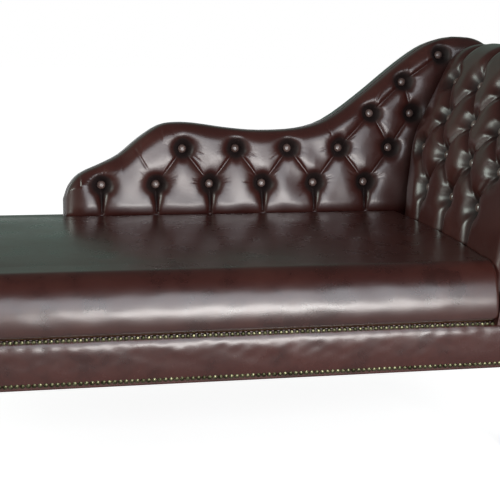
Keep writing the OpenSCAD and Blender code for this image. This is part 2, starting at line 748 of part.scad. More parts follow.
module head_pad() {
  flat = [for (i = [0:head_pad_cols], j = [0:head_pad_rows])
    snap_head([head_pad_y(i, head_pad_s(j)), head_pad_s(j)], i, j)];
  heights = [for (p = flat) head_thick(p)];
  color("#42201b") centred() translate([seat_l, 0, seat_top])
    polyhedron(
      points = concat(
        [for (k = [0:len(flat) - 1]) head_spot(flat[k], heights[k])],
        [for (p = flat) head_spot(p, liner_gap)]
      ),
      faces = panel_faces(head_pad_cols, head_pad_rows, head_cells, heights)
    );
}
function head_spot(p, height) =
  let (spot = behind_face(p.y, pad_t - height))
  [spot.x, p.x, spot.y];
// The grid runs from the back to the front, so a hole's corners are taken in that order
function snap_head(p, i, j) =
  let (turned = snap([-p.x, p.y], i, j, head_cells, [for (place = head_button_places) [-place.x, place.y]]))
  [-turned.x, turned.y];
module head_buttons() {
  color("#5a2820") centred()
    for (place = head_button_places) at_face(place) translate([0, 0, button_seat]) button();
}
module head_ties() {
  color("linen") centred()
    for (place = head_button_places) at_face(place) tie(liner_t);
}

// The outer side: a leather panel over the ribs, up to the neck under the roll
module head_outer_panel() {
  color("#43201a") centred()
    difference() {
      head_extrude(head_front + seat_gap, base_d)
        intersection() {
          head_strip(head_t - leather_t + seat_gap, head_t, -head_drop);
          translate([0, -seat_rise]) square([2 * head_t + roll_r, seat_rise + panel_tip.y]);
        }
      behind_back(pad_t - seat_gap);
    }
}

// Front of the head rest: a scroll-shaped board under leather, set in from the padding
module scroll_plan(inset) {
  r = roll_r - inset;
  scroll_far = head_t - inset + facing_inset;
  wrap = 360 - acos((roll_r - scroll_far) / r);
  near_side = strip(inset, -seat_rise + ledge);
  far_side = strip(scroll_far, -seat_rise + ledge);
  polygon(concat(
    near_side,
    [for (k = [1:round_fn]) roll_centre + r * face_out(head_rake + wrap * k / round_fn)],
    [for (k = [len(far_side) - 2:-1:0]) far_side[k]]
  ));
}
module head_facing() {
  color("burlywood") centred()
    head_extrude(facing_front, head_front) scroll_plan(facing_inset + leather_t + seat_gap);
}
module facing_cover() {
  color("#4a231c") centred()
    difference() {
      head_extrude(facing_y, head_front) scroll_plan(facing_inset);
      head_extrude(facing_front, head_front + overrun) scroll_plan(facing_inset + leather_t);
    }
}
facing_nail_in = 22;
facing_nail_count = floor((roll_start - nail_w) / nail_pitch);
facing_arc_count = floor((roll_r - facing_nail_in) * PI * roll_wrap / 180 / nail_pitch);
module facing_nails() {
  color("#b08d3c") centred() {
    for (k = [0:facing_nail_count - 1])
      facing_nail(behind_face(nail_w + k * nail_pitch, facing_nail_in));
    for (k = [1:facing_arc_count])
      facing_nail(roll_centre + (roll_r - facing_nail_in) * face_out(head_rake + k * nail_pitch / (roll_r - facing_nail_in) * 180 / PI));
  }
}
module facing_nail(spot) {
  translate([seat_l + spot.x, facing_y, seat_top + spot.y]) rotate([90, 0, 0]) nail();
}

// Zigzag springs run from the front rail to the rear rail, clear of the posts, held by clips
spring_steps = 6;
spring_from = leather_t + rail_t - spring_bearing;
spring_to = rail_in_y + spring_bearing;
spring_waves = round((spring_to - spring_from) / spring_wave);
spring_anchor = seat_l + first_button.x + button_pitch / 4;
spring_start = spring_anchor
  - button_pitch * floor((spring_anchor - leather_t - rail_t - spring_w) / button_pitch);
spring_count = 1 + floor((seat_l - spring_w - spring_start) / button_pitch);
module spring() {
  run = spring_to - spring_from;
  steps = spring_waves * spring_steps;
  reach = (spring_w - wire_d) / 2;
  mid = [for (k = [0:steps]) [reach * sin(360 * k / spring_steps), run * k / steps]];
  side = [for (k = [0:steps])
    let (d = mid[min(k + 1, steps)] - mid[max(k - 1, 0)])
    wire_d / 2 * [d.y, -d.x] / norm(d)];
  linear_extrude(wire_d)
    polygon(concat([for (k = [0:steps]) mid[k] + side[k]], [for (k = [steps:-1:0]) mid[k] - side[k]]));
}
module seat_springs() {
  color("gray") centred()
    for (k = [0:spring_count - 1])
      translate([spring_start + k * button_pitch, spring_from, spring_z]) spring();
}
clip_w = 24;
clip_d = 9;
module spring_clips() {
  color("darkgray") centred()
    for (k = [0:spring_count - 1], end = [0, 1])
      translate([
        spring_start + k * button_pitch - clip_w / 2,
        end == 0 ? spring_from : spring_to - clip_d,
        spring_z + wire_d
      ])
        cube([clip_w, clip_d, clip_t]);
}

// Hessian over the springs and clips, inside the rails and in front of the posts
hessian_z = rail_top - hessian_t;
hessian_x = leather_t + rail_t + head_clear;
hessian_y = spring_from;
seat_back_y = seat_d - head_clear;
notch_x = seat_l - back_l - leather_t - head_clear;
module spring_hessian() {
  color("tan") centred()
    translate([hessian_x, hessian_y, hessian_z])
      cube([
        seat_l + rail_in_x - rib_foot - head_clear - hessian_x,
        rail_in_y - post_t - head_clear - hessian_y,
        hessian_t
      ]);
}

// The seat: rings of points climb the rolled edge on the front, foot and open rear sides.
// Behind the back rest's foot-side edge it stops at the back padding, and at the head rest it is cut square.
ring_count = 7;
swell_turn = acos(edge_w / (edge_w + edge_swell));
swell_share = 0.36;
ring_skirt = 4;
seat_head_x = seat_l - head_clear;
bay_cols = 5;
long_cols = 9;
mid_rows = 7;
seat_cols = ring_count + bay_cols + 1 + long_cols;
seat_rows = 2 * ring_count + mid_rows;
function ring_turn(k) = -swell_turn + (90 + swell_turn) * k / ring_count;
function ring_in(k) = edge_w - (edge_w + edge_swell) * cos(ring_turn(k));
function ring_rise(k, rise) =
  let (mid = rise * swell_share, turn = ring_turn(k))
  turn < 0 ? mid + (mid - ring_skirt) * sin(turn) / sin(swell_turn) : mid + (rise - mid) * sin(turn);
function ring_corner(k) = max(corner_r - ring_in(k), overrun);
// Distance in from one edge, for ring k at the step that is t of the way from its corner to the flat top
function ring_along(k, t) =
  let (r = ring_corner(k), start = ring_in(k) + r * (1 - cos(45)))
  start + (edge_w - start) * t;
function ring_across(k, t) =
  let (r = ring_corner(k), centre = ring_in(k) + r, along = ring_along(k, t))
  along < centre ? centre - sqrt(max(0, r ^ 2 - (centre - along) ^ 2)) : ring_in(k);
function seat_x(i) =
  i <= ring_count + bay_cols
  ? edge_w + (notch_x - edge_w) * (i - ring_count) / bay_cols
  : notch_x + head_clear + (seat_head_x - notch_x - head_clear) * (i - ring_count - bay_cols - 1) / long_cols;
function seat_point(i, j) =
  let (
    open_rear = i <= ring_count + bay_cols,
    far = seat_rows - j,
    from_rear = open_rear && far < ring_count && far < j,
    n = from_rear ? far : j,
    k = min(i, n, ring_count),
    on_foot = i <= n,
    t = (max(min(n, ring_count), min(i, ring_count)) - k) / max(1, ring_count - k),
    rear_y = open_rear ? base_d : seat_back_y + edge_w,
    flat_y = edge_w + (rear_y - 2 * edge_w) * (j - ring_count) / mid_rows,
    x = i >= ring_count ? seat_x(i) : on_foot ? (n >= ring_count ? ring_in(i) : ring_across(k, t)) : ring_along(k, t),
    edge_y = n >= ring_count ? flat_y : on_foot ? ring_along(k, t) : i >= ring_count ? ring_in(n) : ring_across(k, t),
    y = from_rear ? base_d - edge_y : !open_rear && j > ring_count + mid_rows
      ? seat_back_y - (seat_rows - j) * head_clear
      : !open_rear && j >= ring_count
      ? edge_w + (seat_back_y - ring_count * head_clear - edge_w) * (j - ring_count) / mid_rows
      : edge_y
  )
  [x, y, k];
function seat_height(p, rise) =
  ring_rise(p[2], rise) + crown_rise * sin(180 * max(0, min(1, p.y / seat_d))) * min(1, max(0, p.x - edge_w) / edge_w)
    * (p[2] == ring_count ? 1 : 0);
function drawn_in(along, far) = along < edge_w ? 1 - along / edge_w : (edge_w - along) / (far - edge_w);
seat_base = rail_top + seat_gap;
module seat_form(inset, bottom) {
  rise = seat_top - seat_base - inset;
  spots = [for (i = [0:seat_cols], j = [0:seat_rows]) seat_point(i, j)];
  top = [for (p = spots)
    [
      p.x + inset * drawn_in(p.x, seat_head_x),
      p.y + inset * drawn_in(p.y, seat_back_y),
      seat_base + seat_height(p, rise)
    ]];
  w = seat_rows + 1;
  loop = concat(
    [for (j = [0:seat_rows]) j],
    [for (i = [1:seat_cols]) i * w + seat_rows],
    [for (j = [seat_rows - 1:-1:0]) seat_cols * w + j],
    [for (i = [seat_cols - 1:-1:1]) i * w]
  );
  n = len(loop);
  count = len(top);
  hub = [notch_x / 2, seat_d / 2, bottom];
  head_loop = 2 * seat_rows + seat_cols;
  feet = [for (k = [0:n - 1]) count + (k > head_loop - ring_count && k < head_loop ? head_loop - ring_count : k)];
  polyhedron(
    points = concat(top, [for (k = loop) [top[k].x, top[k].y, bottom]], [hub]),
    faces = concat(
      [for (i = [0:seat_cols - 1], j = [0:seat_rows - 1])
        let (a = i * w + j) each quad_faces([a, a + 1, a + w + 1, a + w])],
      [for (k = [0:n - 1])
        let (m = (k + 1) % n)
        each feet[k] == feet[m] ? [[feet[k], loop[m], loop[k]]] : quad_faces([feet[k], feet[m], loop[m], loop[k]])],
      [for (k = [0:n - 1]) if (feet[k] != feet[(k + 1) % n]) [feet[(k + 1) % n], feet[k], count + n]]
    )
  );
}
module seat_cover() {
  color("#3b1a15") centred()
    difference() {
      seat_form(0, seat_base);
      seat_form(leather_t, seat_base - overrun);
    }
}
module seat_foam() {
  color("khaki") centred() seat_form(leather_t + seat_gap, seat_base);
}

// Leather border over the rails, with rows of domed nails along both edges
module border_band() {
  color("#4d231b") centred()
    translate([0, 0, leg_h])
      difference() {
        linear_extrude(rail_h) base_plan(base_l, base_d, corner_r);
        translate([leather_t, leather_t, -overrun])
          linear_extrude(rail_h + 2 * overrun) base_plan(frame_l, frame_d, frame_r);
      }
}
nail_shares = [[1, 0], [0.92, 0.38], [0.7, 0.72], [0.38, 0.94], [0.12, 1]];
module nail() {
  rotate_extrude($fn = 24)
    polygon(concat([[0, 0]], [for (share = nail_shares) [share.x * nail_w / 2, share.y * nail_h]], [[0, nail_h]]));
}
module nail_run(from, to) {
  run = to - from;
  count = floor(norm(run) / nail_pitch);
  turn = atan2(run.y, run.x);
  for (k = [0:count])
    translate([from.x, from.y, 0] + k / count * [run.x, run.y, 0]) rotate([90, 0, turn]) nail();
}
corner_nails = max(1, floor(corner_r * PI / 2 / nail_pitch) - 1);
module nail_corner(centre, start) {
  for (k = [1:corner_nails])
    translate([centre.x, centre.y, 0]) rotate([0, 0, start + 90 * k / (corner_nails + 1)])
      translate([0, -corner_r, 0]) rotate([90, 0, 0]) nail();
}
module nail_row(z) {
  near = corner_r;
  far_x = base_l - corner_r;
  far_y = base_d - corner_r;
  translate([0, 0, z]) {
    nail_run([near, 0], [far_x, 0]);
    nail_run([0, far_y], [0, near]);
    nail_run([base_l, near], [base_l, far_y]);
    nail_corner([near, near], -90);
    nail_corner([far_x, near], 0);
  }
}
module upper_nails() {
  color("#b08d3c") centred() nail_row(rail_top - upper_nail_drop);
}
module lower_nails() {
  color("#b08d3c") centred() nail_row(leg_h + lower_nail_rise);
}

// Black cloth under the base, cut away round the legs
cloth_t = 1;
cloth_in = 8;
module dust_cloth() {
  color("#151515") centred()
    translate([0, 0, leg_h - cloth_t])
      difference() {
        translate([cloth_in, cloth_in, 0]) cube([base_l - 2 * cloth_in, base_d - 2 * cloth_in, cloth_t]);
        for (place = leg_places)
          translate([place.x, place.y, -overrun])
            cylinder(d = leg_w + 2 * head_clear, h = cloth_t + 2 * overrun, $fn = round_fn);
      }
}

front_rail();
rear_rail();
foot_rail();
head_rail();
cross_rails();
rail_dowels();
corner_blocks();
leg_foot_front();
leg_foot_rear();
leg_head_front();
leg_head_rear();
leg_bolts();
leg_nuts();
leg_glides();
back_posts();
back_board();
back_pad();
back_buttons();
back_ties();
outside_back();
head_ribs();
head_slats();
head_liner();
top_roll();
head_pad();
head_buttons();
head_ties();
head_outer_panel();
head_facing();
facing_cover();
facing_nails();
seat_springs();
spring_clips();
spring_hessian();
seat_foam();
seat_cover();
border_band();
upper_nails();
lower_nails();
dust_cloth();
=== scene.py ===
import math

import bpy
import bmesh
import numpy as np
from mathutils import Matrix, Vector


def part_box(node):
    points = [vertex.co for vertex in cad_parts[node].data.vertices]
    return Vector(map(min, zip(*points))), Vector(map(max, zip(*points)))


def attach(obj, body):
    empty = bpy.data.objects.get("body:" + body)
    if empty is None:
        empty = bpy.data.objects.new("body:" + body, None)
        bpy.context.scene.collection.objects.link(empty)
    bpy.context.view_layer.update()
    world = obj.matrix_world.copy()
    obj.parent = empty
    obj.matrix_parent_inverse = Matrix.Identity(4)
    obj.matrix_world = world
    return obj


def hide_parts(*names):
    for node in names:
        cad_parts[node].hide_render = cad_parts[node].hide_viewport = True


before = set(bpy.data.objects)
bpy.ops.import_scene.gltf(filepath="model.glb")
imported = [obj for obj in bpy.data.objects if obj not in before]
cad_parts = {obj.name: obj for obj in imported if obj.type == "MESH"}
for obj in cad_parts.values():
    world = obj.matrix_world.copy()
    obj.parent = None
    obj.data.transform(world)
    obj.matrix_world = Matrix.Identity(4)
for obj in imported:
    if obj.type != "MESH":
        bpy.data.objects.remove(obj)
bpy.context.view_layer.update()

# Camera: stands to the left of the couch's middle, a little over the height of the head rest, and looks along the
# seat towards the head rest. Long lens, level to about a degree.
camera_data = bpy.data.cameras.new("camera")
camera_data.sensor_width = 36.0
camera_data.lens = 86.25
camera = bpy.data.objects.new("camera", camera_data)
bpy.context.collection.objects.link(camera)
camera_turn = Matrix(((0.97497, 0.02482, -0.22095), (-0.22134, 0.20245, -0.95395), (0.02105, 0.97898, 0.20288)))
camera.matrix_world = Matrix.Translation((-0.49223, -2.57780, 0.93231)) @ camera_turn.to_4x4()
bpy.context.scene.camera = camera
bpy.context.scene.view_settings.view_transform = "Standard"

# Floor: a pale, matt studio floor that runs far past the picture, so it is also the white background.
# Seen directly it is lifted to white, in gloss and glass by a little, and it keeps the couch's shadow.
floor_half = 14.0
floor_corners = [(-floor_half, -floor_half, 0), (floor_half, -floor_half, 0),
                 (floor_half, floor_half, 0), (-floor_half, floor_half, 0)]
floor_mesh = bpy.data.meshes.new("floor")
floor_mesh.from_pydata(floor_corners, [], [(0, 1, 2, 3)])
floor = bpy.data.objects.new("floor", floor_mesh)
bpy.context.collection.objects.link(floor)


def linear(code):
    """sRGB hex code to linear colour: the low part is divided by 12.92, the rest follows the 2.4 power."""
    parts = [int(code[k:k + 2], 16) / 255 for k in (1, 3, 5)]
    return tuple(p / 12.92 if p <= 0.04045 else ((p + 0.055) / 1.055) ** 2.4 for p in parts) + (1.0,)


def add_node(tree, kind, inputs=(), **settings):
    """Adds a node, sets its settings, and links or fills each named input."""
    made = tree.nodes.new("ShaderNode" + kind)
    for key, value in settings.items():
        setattr(made, key, value)
    for key, value in dict(inputs).items():
        if isinstance(value, bpy.types.NodeSocket):
            tree.links.new(value, made.inputs[key])
        else:
            made.inputs[key].default_value = value
    return made


def start_material(name):
    """A new material with nothing in its node tree, and that tree."""
    material = bpy.data.materials.new(name)
    material.use_nodes = True
    material.node_tree.nodes.clear()
    return material, material.node_tree


floor_paint, tree = start_material("matt_floor_paint")
seen_lift, mirrored_lift = 0.86, 0.12
rays = add_node(tree, "LightPath")
mirrored = add_node(
    tree, "Math", {0: rays.outputs["Is Glossy Ray"], 1: rays.outputs["Is Transmission Ray"]}, operation="MAXIMUM")
mirrored = add_node(tree, "Math", {0: mirrored.outputs[0], 1: mirrored_lift}, operation="MULTIPLY")
lift = add_node(
    tree, "Math", {0: rays.outputs["Is Camera Ray"], 1: seen_lift, 2: mirrored.outputs[0]}, operation="MULTIPLY_ADD")
paint = add_node(tree, "BsdfDiffuse", {"Color": linear("#c4c3c1")})
glow = add_node(tree, "Emission", {"Color": (1, 1, 1, 1), "Strength": lift.outputs[0]})
both = add_node(tree, "AddShader", {0: paint.outputs[0], 1: glow.outputs[0]})
add_node(tree, "OutputMaterial", {"Surface": both.outputs[0]})
floor_mesh.materials.append(floor_paint)

# Light: a wide glazed door in front, brighter in its lower half, a window in the wall on the left, and a plain grey
# room. Camera, gloss and glass see the room as white at the floor, then grey-green walls that darken upwards.
world = bpy.data.worlds.new("room")
bpy.context.scene.world = world
world.use_nodes = True
tree = world.node_tree
tree.nodes.clear()
way = add_node(tree, "TexCoord")
height = add_node(tree, "SeparateXYZ", {0: way.outputs["Generated"]})
fade = add_node(
    tree, "MapRange", {"Value": height.outputs["Z"], "From Min": 0.004, "From Max": 0.05},
    interpolation_type="SMOOTHSTEP")
dusk = add_node(
    tree, "MapRange", {"Value": height.outputs["Z"], "From Min": 0.30, "From Max": 0.65},
    interpolation_type="SMOOTHSTEP")
walls = add_node(tree, "Mix", {0: dusk.outputs[0], 6: linear("#6b8078"), 7: linear("#484d4c")}, data_type="RGBA")
tone = add_node(tree, "Mix", {0: fade.outputs[0], 6: (1, 1, 1, 1), 7: walls.outputs[2]}, data_type="RGBA")
rays = add_node(tree, "LightPath")
seen = add_node(
    tree, "Math", {0: rays.outputs["Is Camera Ray"], 1: rays.outputs["Is Glossy Ray"]}, operation="MAXIMUM")
seen = add_node(tree, "Math", {0: seen.outputs[0], 1: rays.outputs["Is Transmission Ray"]}, operation="MAXIMUM")
shown = add_node(tree, "Mix", {0: seen.outputs[0], 6: linear("#979c9e"), 7: tone.outputs[2]}, data_type="RGBA")
sky = add_node(tree, "Background", {"Color": shown.outputs[2], "Strength": 1.0})
add_node(tree, "OutputWorld", {"Surface": sky.outputs[0]})


def window(name, place, target, width, height, power, tint):
    """An area lamp of a width and height in metres and a power in watts, turned from its place to the target."""
    data = bpy.data.lights.new(name, "AREA")
    data.shape = "RECTANGLE"
    data.size = width
    data.size_y = height
    data.energy = power
    data.color = linear(tint)[:3]
    lamp = bpy.data.objects.new(name, data)
    lamp.location = place
    lamp.rotation_euler = (Vector(place) - Vector(target)).to_track_quat("Z", "Y").to_euler()
    bpy.context.collection.objects.link(lamp)


window("door_low", (0.80, -3.6, 0.44), (0.80, 0.0, 0.44), 1.85, 0.60, 71.0, "#fbf8f6")
window("door_high", (0.62, -3.6, 1.60), (0.62, 0.0, 0.70), 2.8, 1.40, 52.0, "#f2f7ff")
window("left_window", (-3.6, 0.0, 1.8), (0.5, 0.1, 0.6), 2.0, 1.6, 92.0, "#e6f2ea")

# Seat cover: one hide of dark oxblood leather, pulled over foam and rolled down the front, the foot end and the
# open part of the rear. It is polished and antiqued: dark-stained and rubbed to red-brown in scattered patches.
base_low, base_high = (np.array(c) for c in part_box("border_band"))
foot_x, front_y = base_low[0], base_low[1]
base_l, base_d = base_high[0] - foot_x, base_high[1] - front_y
base_r = 0.025
seat_l, seat_d, seat_top = 1.360, 0.602, 0.424
leather_t, fit_gap = 0.003, 0.0003
seat_base = base_high[2] + fit_gap
edge_w = 0.062
head_clear = 0.002
back_l = 0.821
notch_x = seat_l - back_l - leather_t - head_clear


def make_piece(name, points, faces, material, wear_and_shade=None):
    """A smooth mesh object at the origin from an array of points and a list of faces, with doubles merged. How worn
    each point is, with painted shade, where it is given, is kept as the point attribute that the leather reads."""
    mesh = bpy.data.meshes.new(name)
    mesh.from_pydata(points.reshape(-1, 3).tolist(), [], faces)
    if wear_and_shade is not None:
        mesh.attributes.new("wear_and_shade", "FLOAT", "POINT").data.foreach_set("value", wear_and_shade.astype(np.float32))
    made = bpy.data.objects.new(name, mesh)
    bpy.context.collection.objects.link(made)
    shape = bmesh.new()
    shape.from_mesh(mesh)
    bmesh.ops.remove_doubles(shape, verts=shape.verts, dist=0.00002)
    bmesh.ops.recalc_face_normals(shape, faces=shape.faces)
    shape.to_mesh(mesh)
    shape.free()
    mesh.polygons.foreach_set("use_smooth", np.full(len(mesh.polygons), True))
    mesh.materials.append(material)
    return made


def quads(rows, cols, start=0, wrap=False):
    """Corner numbers of the cells of a grid of rows x cols points, row after row. Wrap joins the last row to the
    first."""
    i, j = np.meshgrid(np.arange(rows if wrap else rows - 1), np.arange(cols - 1), indexing="ij")
    k = (i + 1) % rows
    corners = np.stack([i * cols + j, k * cols + j, k * cols + j + 1, i * cols + j + 1], -1)
    return (start + corners).reshape(-1, 4).tolist()


def swells(x, y, length, seed):
    """Soft uneven swelling, mostly from -1 to 1: the sum of nine sine waves of about one length in scattered
    directions, over 4.2."""
    dice = np.random.default_rng(seed)
    turns, phases, stretches = dice.uniform(0, math.pi, 9), dice.uniform(0, 2 * math.pi, 9), dice.uniform(0.7, 1.5, 9)
    total = 0
    for turn, phase, stretch in zip(turns, phases, stretches):
        total = total + np.sin((x * math.cos(turn) + y * math.sin(turn)) * 2 * math.pi * stretch / length + phase)
    return total / 4.2


def make_leather(name, deep, mid, light, rub="blotch", pull=0.07, coat=0.5, ior=1.47, gloss_low=0.30):
    """Corrected-grain cowhide under a clear top coat: a fine pebble, soft creases, a deep stain and rubbed tops. It
    looks nearly black where it is stained, warm where it is rubbed, and wet where it turns to a window."""
    material, tree = start_material(name)
    place = add_node(tree, "TexCoord").outputs["Object"]
    # Patches of stain about 70 mm across, and clouds about 250 mm across
    blotch = add_node(tree, "TexNoise", {"Vector": place, "Scale": 14.0, "Detail": 4.0, "Roughness": 0.6})
    cloud = add_node(tree, "TexNoise", {"Vector": place, "Scale": 4.0, "Detail": 2.0, "Roughness": 0.5})
    patch = add_node(tree, "MapRange", {"Value": blotch.outputs[0], "From Min": 0.36, "From Max": 0.68})
    drift = add_node(tree, "MapRange", {"Value": cloud.outputs[0], "From Min": 0.35, "From Max": 0.65})
    # Folds that are never rubbed keep the deep stain and lose the top coat's shine. From the attribute, the dark
    # colour in folds, pits and gaps is partly stain and partly painted shade
    polish = coat
    if rub == "blotch":
        wear_and_shade = add_node(tree, "MapRange", {"Value": blotch.outputs[0], "From Min": 0.3, "From Max": 0.5}).outputs[0]
    else:
        wear_and_shade = add_node(tree, "Attribute", attribute_name=rub).outputs["Fac"]
        polish = add_node(tree, "MapRange", {"Value": wear_and_shade, "To Max": coat}).outputs[0]
    stain = add_node(tree, "Mix", {0: wear_and_shade, 6: linear(deep), 7: linear(mid)}, data_type="RGBA")
    tops = add_node(tree, "Math", {0: patch.outputs[0], 1: wear_and_shade}, operation="MULTIPLY")
    tops = add_node(tree, "Math", {0: tops.outputs[0], 1: drift.outputs[0]}, operation="MULTIPLY")
    colour = add_node(tree, "Mix", {0: tops.outputs[0], 6: stain.outputs[2], 7: linear(light)}, data_type="RGBA")
    # Pebble cells 1.6 mm across, drawn a little coarser than a real hide's so that they show, and pull marks about
    # 20 mm long
    pebble = add_node(tree, "TexVoronoi", {"Vector": place, "Scale": 620.0}, feature="SMOOTH_F1")
    creep = add_node(tree, "TexNoise", {"Vector": place, "Scale": 46.0, "Detail": 3.0, "Roughness": 0.55})
    fine = add_node(tree, "Bump", {"Height": pebble.outputs["Distance"], "Strength": 0.12, "Distance": 0.0004})
    bump = add_node(
        tree, "Bump",
        {"Height": creep.outputs[0], "Strength": pull, "Distance": 0.0022, "Normal": fine.outputs[0]})
    gloss = add_node(tree, "MapRange", {
        "Value": blotch.outputs[0], "From Min": 0.3, "From Max": 0.7,
        "To Min": gloss_low, "To Max": gloss_low + 0.08}).outputs[0]
    if rub != "blotch":
        dust = add_node(
            tree, "MapRange", {"Value": wear_and_shade, "From Max": 0.7, "To Min": 0.42, "To Max": 0.0}).outputs[0]
        gloss = add_node(tree, "Math", {0: gloss, 1: dust}, operation="ADD").outputs[0]
    skin = add_node(tree, "BsdfPrincipled", {
        "Base Color": colour.outputs[2], "Roughness": gloss, "IOR": ior, "Coat Weight": polish,
        "Coat Roughness": 0.24, "Coat IOR": 1.5, "Normal": bump.outputs[0]})
    add_node(tree, "OutputMaterial", {"Surface": skin.outputs[0]})
    return material


seat_leather = make_leather(
    "oxblood_leather_seat", "#2e120e", "#371713", "#42201a", pull=0.03, coat=0.7, gloss_low=0.25)

roll_steps = 40
corner_steps = 28
rise = seat_top - seat_base
edge_lap, front_lap, under_in = 0.012, 0.035, 0.006
# The roll's profile is given by how sharply it bends at each lean of its outside, from under the lip to the flat top
roll_turn = np.radians(np.linspace(-80, 90, roll_steps))
bend_at = [-80, -8, 2, 24, 38, 90]
bend_r = np.interp(np.degrees(roll_turn), bend_at, [0.027, 0.030, 0.125, 0.125, 0.053, 0.053])
bow = 0.5 * (bend_r[1:] + bend_r[:-1]) * np.diff(roll_turn)
bow_turn = 0.5 * (roll_turn[1:] + roll_turn[:-1])
roll_in = np.append(0, np.cumsum(bow * np.sin(bow_turn)))
roll_up = np.append(0, np.cumsum(bow * np.cos(bow_turn)))
roll_in = np.concatenate([[edge_w, under_in], roll_in - roll_in.min() - edge_lap, [edge_w]])
roll_up = np.concatenate([[0.0, 0.0], roll_up - roll_up.max() + rise, [rise]])
# The front's lip hangs further over the border than the sides' do
lip = np.concatenate([[0, 0], np.clip((roll_turn - roll_turn[0]) / 0.9, 0, 1) ** 0.7, [0]])
xs_bay = np.linspace(edge_w, notch_x, 90)
xs_long = np.linspace(notch_x + head_clear, seat_l - head_clear, 160)
xs = np.concatenate([xs_bay, xs_long])
ys_share = np.linspace(0, 1, 110)
bay_rear = base_d - edge_w
long_rear = seat_d - head_clear


def corner_run(inset):
    """Distances (along, across) round a corner: straight, quarter circle, straight, by arc length, for each inset."""
    radius = np.maximum(base_r - inset, 0.0)[None, :]
    straight = edge_w - (inset[None, :] + radius)
    arc = radius * math.pi / 2
    gone = np.linspace(0, 1, corner_steps)[:, None] * (2 * straight + arc)
    bend = np.clip((gone - straight) / np.maximum(radius, 1e-9), 0, math.pi / 2)
    centre = inset[None, :] + radius
    first, last = np.minimum(gone, straight), np.maximum(gone - straight - arc, 0)
    return edge_w - first - radius * np.sin(bend), centre - radius * np.cos(bend) + last


# The roll runs along the front from the head, round the foot end, and along the rear up to the back rest
corner_along, corner_across = corner_run(roll_in)
steps = len(roll_in)
ys = edge_w + (bay_rear - edge_w) * ys_share
front_run = np.stack([np.repeat(xs[::-1, None], steps, 1), np.repeat(roll_in[None, :], len(xs), 0)], -1)
foot_corner = np.stack([corner_along, corner_across], -1)
foot_run = np.stack([np.repeat(roll_in[None, :], len(ys), 0), np.repeat(ys[:, None], steps, 1)], -1)
rear_corner = np.stack([corner_across, base_d - corner_along], -1)
rear_run = np.stack(
    [np.repeat(xs_bay[:, None], steps, 1), np.repeat(base_d - roll_in[None, :], len(xs_bay), 0)], -1)
plan = np.concatenate([front_run, foot_corner, foot_run, rear_corner, rear_run])
front_share = np.concatenate([
    np.ones(len(front_run)), 0.5 + 0.5 * np.cos(np.linspace(0, math.pi, corner_steps)),
    np.zeros(len(plan) - len(front_run) - corner_steps)])
plan[..., 1] -= front_lap * front_share[:, None] * lip[None, :]
roll = np.concatenate([plan, np.repeat(roll_up[None, :, None], len(plan), 0)], -1)
# The flat top is crowned by 6 mm, comes back to the roll's height at its front, and swells by under a millimetre
rear_of_x = np.where(xs < notch_x + head_clear / 2, bay_rear, long_rear)
flat_x = np.repeat(xs[:, None], len(ys_share), 1)
flat_y = edge_w + (rear_of_x[:, None] - edge_w) * ys_share[None, :]
crown_h, dip_reach, flat_swell, still_edge = 0.006, 0.12, 0.0008, 0.05
crown = crown_h * np.sin(np.pi * np.clip(flat_y / seat_d, 0, 1)) * np.clip((flat_x - edge_w) / edge_w, 0, 1)
crown = crown - crown_h * np.sin(np.pi * edge_w / seat_d) * np.clip(1 - (flat_y - edge_w) / dip_reach, 0, 1) ** 2
inner = np.minimum(np.minimum(flat_x - edge_w, flat_y - edge_w), rear_of_x[:, None] - flat_y) / still_edge
flat_z = rise + crown + flat_swell * swells(flat_x, flat_y, 0.34, 3) * np.clip(inner, 0, 1)
flat = np.stack([flat_x, flat_y, flat_z], -1)
under = np.stack([flat_x, flat_y, np.zeros_like(flat_z)], -1)
# The roll is not quite even: it swells by about half a millimetre
roll_swell = 0.0004
stretch = swells(roll[..., 0] + roll[..., 1], roll[..., 2] * 1.6, 0.13, 5)
stretch = stretch + 0.6 * swells(roll[..., 0] - roll[..., 1], roll[..., 2], 0.05, 6)
shape_on = np.sin(np.pi * np.clip(roll_up / rise, 0, 1))[None, :]
outward = plan[:, steps // 2] - plan[:, -1]
outward = outward / np.maximum(np.linalg.norm(outward, axis=1, keepdims=True), 1e-9)
roll[..., :2] += outward[:, None, :] * (roll_swell * stretch * shape_on)[..., None]
count_roll, count_flat = roll.shape[0] * steps, flat.shape[0] * flat.shape[1]
rows, cols = flat.shape[:2]
seat_faces = quads(len(plan), steps)
seat_faces += quads(rows, cols, start=count_roll) + quads(rows, cols, start=count_roll + count_flat)
# A wall joins top and underside at the head and behind the long part, and a face closes each end of the roll
head_edge = (rows - 1) * cols + np.arange(cols)
rear_edge = np.arange(rows - 1)[::-1] * cols + cols - 1
top_edge = count_roll + np.concatenate([head_edge, rear_edge])[:cols + len(xs_long)]
low_edge = top_edge + count_flat
seat_faces += np.stack([top_edge[:-1], top_edge[1:], low_edge[1:], low_edge[:-1]], -1).tolist()
seat_faces += [list(range(steps)), list(range((len(plan) - 1) * steps, len(plan) * steps))]
seat_points = np.concatenate([roll.reshape(-1, 3), flat.reshape(-1, 3), under.reshape(-1, 3)])
seat = make_piece("seat_hide", seat_points + [foot_x, front_y, seat_base], seat_faces, seat_leather)
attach(seat, "root")
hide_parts("seat_cover", "seat_foam")

